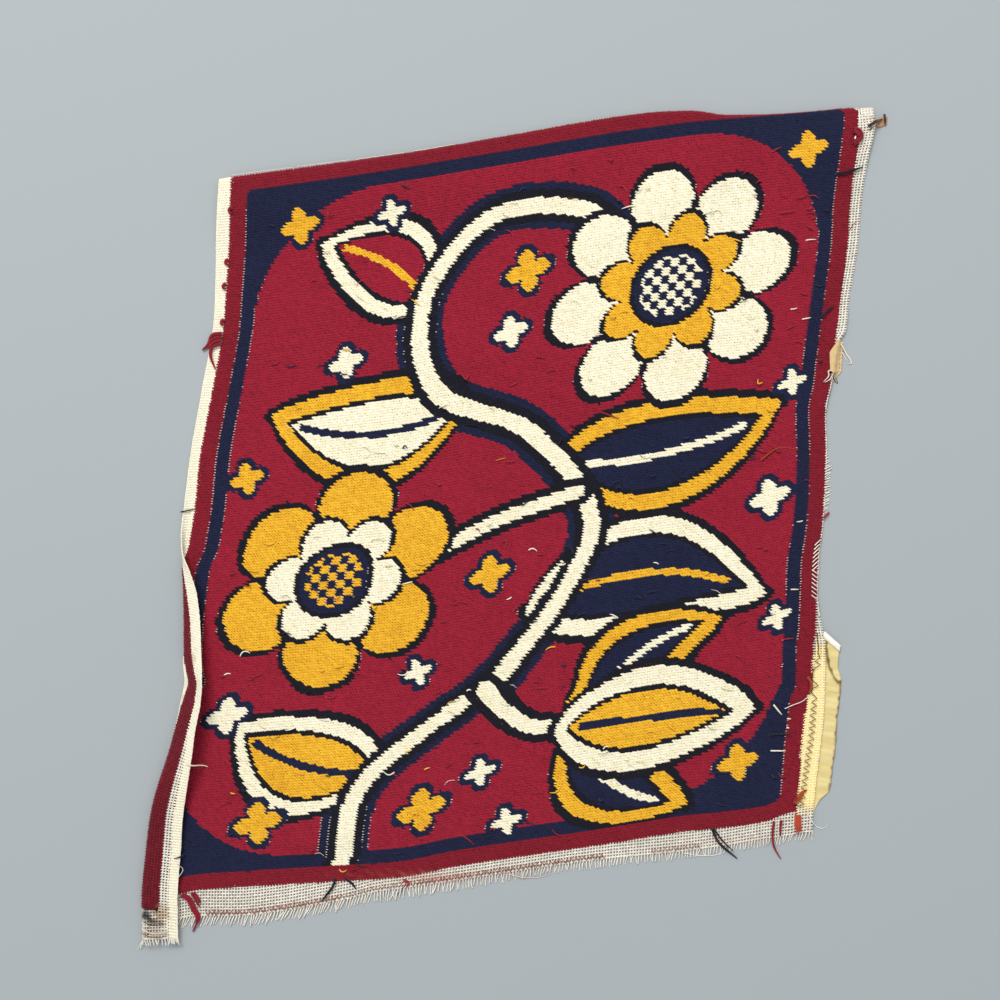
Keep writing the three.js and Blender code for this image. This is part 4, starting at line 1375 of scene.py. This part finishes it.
# %% [markdown]
# ## Sewing threads
#
# A machine has gone along the tape with a zigzag, and along the lower cut with a narrow one
# that keeps the canvas from fraying. These threads are thin and hard, and lie on whatever is
# below them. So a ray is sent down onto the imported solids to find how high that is. Shrinkwrap
# would do the same for a mesh, but here the line is needed before it gets its thickness.

# %% Resting on what is below
corners, faces = [], []
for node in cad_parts.values():
    faces += [[len(corners) + k for k in polygon.vertices] for polygon in node.data.polygons]
    corners += [vertex.co.copy() for vertex in node.data.vertices]
SOLIDS = BVHTree.FromPolygons(corners, faces)
HIGH_ABOVE = 100  # mm


def top_at(x, y):
    """Height in mm of what lies uppermost at a point of the plan, or of the floor."""
    hit = SOLIDS.ray_cast(Vector(in_frame((x, y, HIGH_ABOVE))), Vector((0, 0, -1)))[0]
    return hit.z * 1000 if hit else 0.0


def resting(points, radius, over=0.0):
    """A plan line with the height at which yarn of that radius comes to rest on what is below."""
    heights = np.array([top_at(x, y) for x, y in points]) + radius + over
    padded = np.pad(heights, 1, mode="edge")
    highest = np.maximum.reduce([padded[:-2], heights, padded[2:]])
    eased = np.convolve(np.pad(highest, 1, mode="edge"), (0.25, 0.5, 0.25), "valid")
    return np.column_stack([points, np.maximum(eased, heights)])


print("cloth at the middle, mm:", round(top_at(0, 0), 2))

# %% Zigzags
OLIVE_THREAD = fibre("olive_sewing_thread", "#2A2008", "#5C4816", roughness=0.6, sheen=0.1)
RED_THREAD = fibre("red_sewing_thread", "#7A2824", "#BC6458", roughness=0.6, sheen=0.1)
ZIGZAG_PATH = [
    (198.8, -131.0),
    (198.0, -142.0),
    (197.2, -152.0),
    (195.2, -164.0),
    (192.8, -180.0),
    (190.2, -197.0),
]
# Its upper end has come loose here and there, so its stitches are placed one by one.
LOOSENED = [(201.2, -84.8), (201.0, -88.0), (201.2, -90.7), (201.9, -93.9), (201.5, -97.6), (202.7, -100.5)]
LOOSENED += [(199.5, -102.7), (202.9, -104.8), (198.7, -107.5), (198.0, -110.9), (197.7, -114.7)]
LOOSENED += [(201.6, -118.1), (198.1, -120.0), (197.2, -122.7), (200.8, -126.4), (197.4, -128.8)]
ZIGZAG_WIDE, ZIGZAG_PERIOD = 4.0, 4.2
ABOVE_NET = 1.05  # the net's crossings stand this far over the plain solid, mm


def zigzag(line, wide, period, seed):
    """A zigzag along a plan line, a little uneven."""
    random = np.random.default_rng(seed)
    gone = np.concatenate([[0], np.cumsum(np.linalg.norm(np.diff(line, axis=0), axis=1))])
    at = np.arange(0, gone[-1], period / 2)
    at = at + random.normal(0, period * 0.035, len(at))
    point = np.column_stack([np.interp(at, gone, line[:, k]) for k in (0, 1)])
    ahead = np.gradient(point, axis=0)
    sideways = np.column_stack([-ahead[:, 1], ahead[:, 0]]) / np.linalg.norm(ahead, axis=1)[:, None]
    return point + sideways * wide / 2 * ((-1.0) ** np.arange(len(at)))[:, None]


zigzag_stitches = zigzag(through(ZIGZAG_PATH, 12), ZIGZAG_WIDE, ZIGZAG_PERIOD, 71)
tape_zigzag = through(np.vstack([LOOSENED, zigzag_stitches]), 2)
points, edges = chains([in_frame(resting(tape_zigzag, 0.29, ABOVE_NET))])
tape_stitching = spin("tape_zigzag", points, edges, 0.29, OLIVE_THREAD)

overcast = []
EDGE_SEAM = 2.1  # from the cut edge to the middle of the overcasting, mm
for from_x, to_x, rounds in ((-189, -102, 2), (-102, -62, 1), (-58, 66, 2), (96, 128, 1)):
    for turn_number in range(rounds):
        x = np.arange(from_x, to_x, 1.35)
        y = along(BOTTOM, "cut", x) + EDGE_SEAM + np.where(np.arange(len(x)) % 2 == 0, 1.9, -1.3)
        stitches = np.column_stack([x, y]) + np.random.default_rng(72 + turn_number).normal(0, 0.36, (len(x), 2))
        overcast.append(in_frame(resting(stitches, 0.20, 0.35)))
points, edges = chains(overcast)
edge_stitching = spin("edge_overcasting", points, edges, 0.31, RED_THREAD, sides=3)

# %% [markdown]
# ## Loose yarn
#
# The back is where yarn starts and stops, so tails, loops and floats lie about on it. The
# longest ones are placed one by one, each by the few points that it passes. The many short ones
# are scattered from a fixed seed, each in the wool of its place in the chart. Loose wool opens
# up at its end, so each tail gets thinner there. All are shorter than 30 mm.

# %% The longer tails, one by one
ORANGE_WOOL = fibre("dark_orange_darning_wool", "#7A2A0C", "#A84818")
RUST_WOOL = fibre("rust_darning_wool", "#8A2414", "#C64C32")
BROWN_WOOL = fibre("dark_brown_darning_wool", "#1E1208", "#4C301A")
YARN = 0.55  # radius of a length of tapestry wool, mm
LONGEST_TAIL = 30
crimson, navy, black, cream = WOOLS[CRIMSON], WOOLS[NAVY], WOOLS[BLACK], WOOLS[CREAM]
deep = WOOLS[BORDER]
TAILS = [
    (deep, 1.20, [(-204.6, -252.2), (-200.2, -255.4), (-197.2, -261.6), (-193.9, -267.4), (-197.4, -275.8)]),
    (deep, 1.10, [(-203.4, -251.4), (-198.6, -254.8), (-195.6, -261.0), (-192.8, -266.6), (-195.0, -271.8)]),
    (deep, 1.00, [(-201.4, -253.4), (-198.0, -259.6), (-195.0, -265.6), (-195.4, -272.0)]),
    (deep, 1.10, [(-198.0, -250.7), (-195.4, -255.0), (-192.9, -259.6)]),
    (deep, 0.95, [(-196.6, -250.4), (-193.6, -254.6), (-192.4, -257.4)]),
    (black, 0.85, [(-106.2, -241.0), (-107.6, -246.4), (-111.4, -251.5), (-114.9, -256.0)]),
    (black, 0.80, [(-99.6, -241.4), (-95.8, -244.6), (-92.9, -248.6)]),
    (black, 0.95, [(134.4, -210.0), (138.9, -218.9), (150.4, -229.1)]),
    (black, 0.60, [(135.4, -209.5), (140.6, -217.0), (148.0, -224.4)]),
    (deep, 0.80, [(173.8, -205.0), (173.0, -211.6), (173.2, -218.2), (175.0, -223.6), (178.4, -229.4)]),
    (deep, 0.85, [(178.4, -204.4), (177.8, -209.6), (177.9, -214.6)]),
    (COTTON, 0.34, [(195.0, -197.5), (196.8, -203.0), (201.0, -208.6), (205.6, -210.0), (208.8, -208.0)]),
    (ORANGE_WOOL, 1.05, [(187.0, -192.8), (189.4, -188.6), (191.6, -186.2), (194.6, -184.6)]),
    (deep, 1.00, [(186.4, -193.6), (187.8, -190.4), (189.0, -188.6)]),
    (ORANGE_WOOL, 1.00, [(188.6, -192.2), (190.6, -188.8), (192.6, -187.0)]),
    (ORANGE_WOOL, 1.00, [(195.0, -112.6), (196.9, -116.0), (197.2, -119.4), (195.8, -123.0)]),
    (RUST_WOOL, 0.95, [(187.6, -200.6), (187.5, -206.0), (188.4, -212.8)]),
    (RUST_WOOL, 0.95, [(188.9, -200.8), (188.9, -206.0), (189.6, -212.4)]),
    (RUST_WOOL, 0.90, [(190.2, -201.2), (190.2, -206.0), (190.8, -211.4)]),
    (ORANGE_WOOL, 0.45, [(165.1, 25.6), (176.6, 33.3), (188.8, 32.0)]),
    (cream, 0.5, [(171.5, -160.0), (181.1, -160.0)]),
    (cream, 0.5, [(182.0, -139.4), (184.4, -139.6)]),
    (cream, 0.5, [(181.6, -145.0), (183.4, -145.4)]),
    (cream, 0.6, [(173.4, -130.6), (178.6, -137.0)]),
    (COTTON, 0.28, [(180.5, -133.1), (186.0, -130.6), (192.0, -128.0), (198.4, -122.5)]),
    (cream, 0.45, [(184.3, -57.0), (189.4, -57.0)]),
    (black, YARN, [(170.2, -149.8), (178.0, -149.2), (185.6, -149.8)]),
    (navy, YARN, [(131.8, -174.7), (139.0, -173.8), (147.2, -174.7)]),
    (black, 0.95, [(212.6, 207.6), (220.3, 209.0), (230.2, 212.3)]),
    (black, 0.85, [(204.0, 116.5), (207.6, 120.3), (211.6, 123.7)]),
    (black, 0.5, [(-204.8, -7.7), (-196.5, -5.8)]),
    (deep, 1.30, [(-178.6, 106.2), (-184.6, 105.2), (-187.6, 99.2), (-191.4, 95.8)]),
    (deep, 1.25, [(-178.8, 104.2), (-184.4, 102.6), (-187.8, 97.6)]),
    (deep, 1.25, [(-178.9, 102.2), (-184.2, 100.4), (-187.0, 96.6)]),
    (deep, 1.15, [(-179.2, 100.0), (-184.8, 97.4), (-185.8, 91.8), (-182.8, 83.6)]),
    (cream, 0.5, [(-198.4, -166.4), (-187.5, -170.2)]),
    (COTTON, 0.3, [(-206.1, -231.0), (-203.5, -236.0), (-206.0, -240.6)]),
    (COTTON, 0.46, [(216.4, 100.2), (220.1, 93.9), (223.1, 89.4), (223.4, 87.2), (221.2, 87.2)]),
    (COTTON, 0.30, [(217.4, 94.4), (220.8, 89.2)]),
    (COTTON, 0.50, [(212.0, 82.6), (208.2, 82.2), (208.3, 78.9), (205.1, 75.4)]),
    (COTTON, 0.42, [(211.5, 81.1), (209.0, 76.8), (205.8, 75.0)]),
    (OLIVE_THREAD, 0.24, [(211.2, 80.0), (213.0, 76.2), (215.0, 74.8), (213.2, 79.4)]),
    (crimson, 0.22, [(221.4, 171.5), (224.5, 176.0), (227.2, 178.2)]),
    (deep, 1.30, [(224.6, 236.2), (227.6, 234.6), (228.9, 231.6), (227.4, 228.4), (224.4, 225.6)]),
    (deep, 1.30, [(224.0, 234.6), (226.2, 232.8), (227.2, 230.6)]),
    (deep, 1.20, [(223.8, 226.8), (225.8, 228.6), (226.8, 230.6)]),
    (COTTON, 0.60, [(224.6, 229.6), (225.2, 231.6)]),
    (BROWN_WOOL, 1.00, [(233.4, 238.0), (238.0, 240.9), (243.2, 243.6)]),
    (BROWN_WOOL, 0.80, [(244.6, 246.4), (244.9, 239.9)]),
    (BROWN_WOOL, 0.32, [(233.6, 235.4), (237.2, 237.8)]),
    (crimson, 0.95, [(-62.8, -242.6), (-59.6, -244.4), (-60.8, -247.4)]),
    (BROWN_WOOL, 0.24, [(-61.4, -245.1), (-64.0, -249.4), (-67.6, -253.0)]),
    (crimson, 0.75, [(205.4, -11.4), (207.8, -9.4), (209.4, -7.6)]),
    (BROWN_WOOL, 0.22, [(-228.9, -275.8), (-223.8, -277.8), (-217.4, -278.4), (-213.6, -277.1)]),
    (BROWN_WOOL, 0.22, [(-228.3, -268.2), (-221.9, -270.7), (-213.6, -270.1)]),
    (COTTON, 0.50, [(-227.9, -273.6), (-221.8, -275.8), (-213.0, -275.4)]),
    (COTTON, 0.34, [(4.0, -238.9), (14.0, -241.4), (24.0, -241.4), (31.5, -239.2)]),
    (COTTON, 0.34, [(116.0, -225.6), (126.0, -227.4), (136.0, -227.2), (143.0, -225.2)]),
]


# Short canvas ends lie slanting over the right edge of the wool, one below the other.
for at_y in np.arange(-27.0, -64.0, -2.7):
    at_x = float(along(RIGHT, "worked", at_y)) - 1.6
    slope = 1.9 if at_y > -44 else -1.5
    TAILS.append((COTTON, 0.36, [(at_x - 1.9, at_y - slope), (at_x, at_y), (at_x + 2.2, at_y + slope)]))

# Plump bumps of wool stand out over the selvedge where yarn was begun.
for at_x, at_y in ((-173.2, 184.3), (-176.0, 151.7), (-177.6, 136.3), (-178.8, 113.3)):
    bump = [(at_x + 1.6, at_y + 1.9), (at_x, at_y + 0.7), (at_x, at_y - 0.8), (at_x + 1.6, at_y - 1.9)]
    TAILS.append((deep, 1.15, bump))


def tapered(count, radius):
    """A radius for each point of a tail, thinner at its loose end."""
    return radius * np.interp(np.linspace(0, 1, count), (0, 0.65, 1), (1, 0.95, 0.4))


yarns = {}
for wool, radius, places in TAILS:
    line = resting(through(places, 5), radius)
    length = np.linalg.norm(np.diff(line, axis=0), axis=1).sum()
    if length > LONGEST_TAIL:
        print("too long:", places[0], round(length, 1))
    paths, radii = yarns.setdefault(wool.name, ([], []))
    paths.append(in_frame(line))
    radii.append(tapered(len(line), radius))
print("longer tails:", len(TAILS))

# %% The short ones, scattered
random = np.random.default_rng(83)
STEPS = np.linspace(0, 1, 6)
KINDS = [
    # how many, shortest and longest in mm, radius, rise of the middle, sideways bend
    (170, 3.0, 8.0, 0.42, 0.2, 0.35),
    (60, 2.5, 4.0, 0.50, 1.0, 0.9),
    (70, 4.0, 9.0, 0.16, 0.6, 0.5),
    (26, 6.0, 12.0, 0.45, 0.3, 0.1),
]
for many, shortest, longest, radius, rise, bend in KINDS:
    for _ in range(many):
        u, v = random.uniform(16, COLUMNS - 4), random.uniform(4, ROWS - 12)
        way = random.uniform(-0.7, 0.5) + (math.pi if random.random() < 0.5 else 0)
        length = random.uniform(shortest, longest)
        x, y = plan(np.array(u), np.array(v))
        sideways = bend * random.normal(0, 1) * length * np.sin(STEPS * math.pi) / 2
        line = np.column_stack(
            [
                x + STEPS * length * math.cos(way) - sideways * math.sin(way),
                y + STEPS * length * math.sin(way) + sideways * math.cos(way),
            ]
        )
        line = resting(line, radius * 0.8)
        line[:, 2] += rise * np.sin(STEPS * math.pi)
        line[0, 2] -= radius + 0.4
        wool = WOOLS[colours[int(v), int(u)]]
        if random.random() < 0.22:
            wool = WOOLS[random.choice((CREAM, CREAM, GOLD, NAVY, CRIMSON))]
        paths, radii = yarns.setdefault(wool.name, ([], []))
        paths.append(in_frame(line))
        radii.append(tapered(len(line), radius))

for name, (paths, radii) in yarns.items():
    points, edges = chains(paths)
    tone = np.repeat(random.random(len(paths)), [len(path) for path in paths])
    sides = 5 if len(paths) < 60 else 4
    spin("loose_" + name, points, edges, np.concatenate(radii), bpy.data.materials[name], sides, tone)

# %% [markdown]
# ## The floor
#
# The floor isn't part of the object. It is plain and pale, with no edge in view.

# %% Floor
floor = new_object("floor", [(-3, -3, 0), (3, -3, 0), (3, 3, 0), (-3, 3, 0)], faces=[(0, 1, 2, 3)])
floor_paint = bpy.data.materials.new("pale_grey_backdrop")
floor_paint.use_nodes = True
paint = floor_paint.node_tree.nodes["Principled BSDF"]
paint.inputs["Base Color"].default_value = linear("#A6ACAE")
paint.inputs["Roughness"].default_value = 0.9
floor.data.materials.append(floor_paint)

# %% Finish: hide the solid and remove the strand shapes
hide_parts("worked_canvas")
for strand_shape in (BACK_STRAND, FRONT_STRAND, FRONT_RIDGE):
    bpy.data.objects.remove(strand_shape)
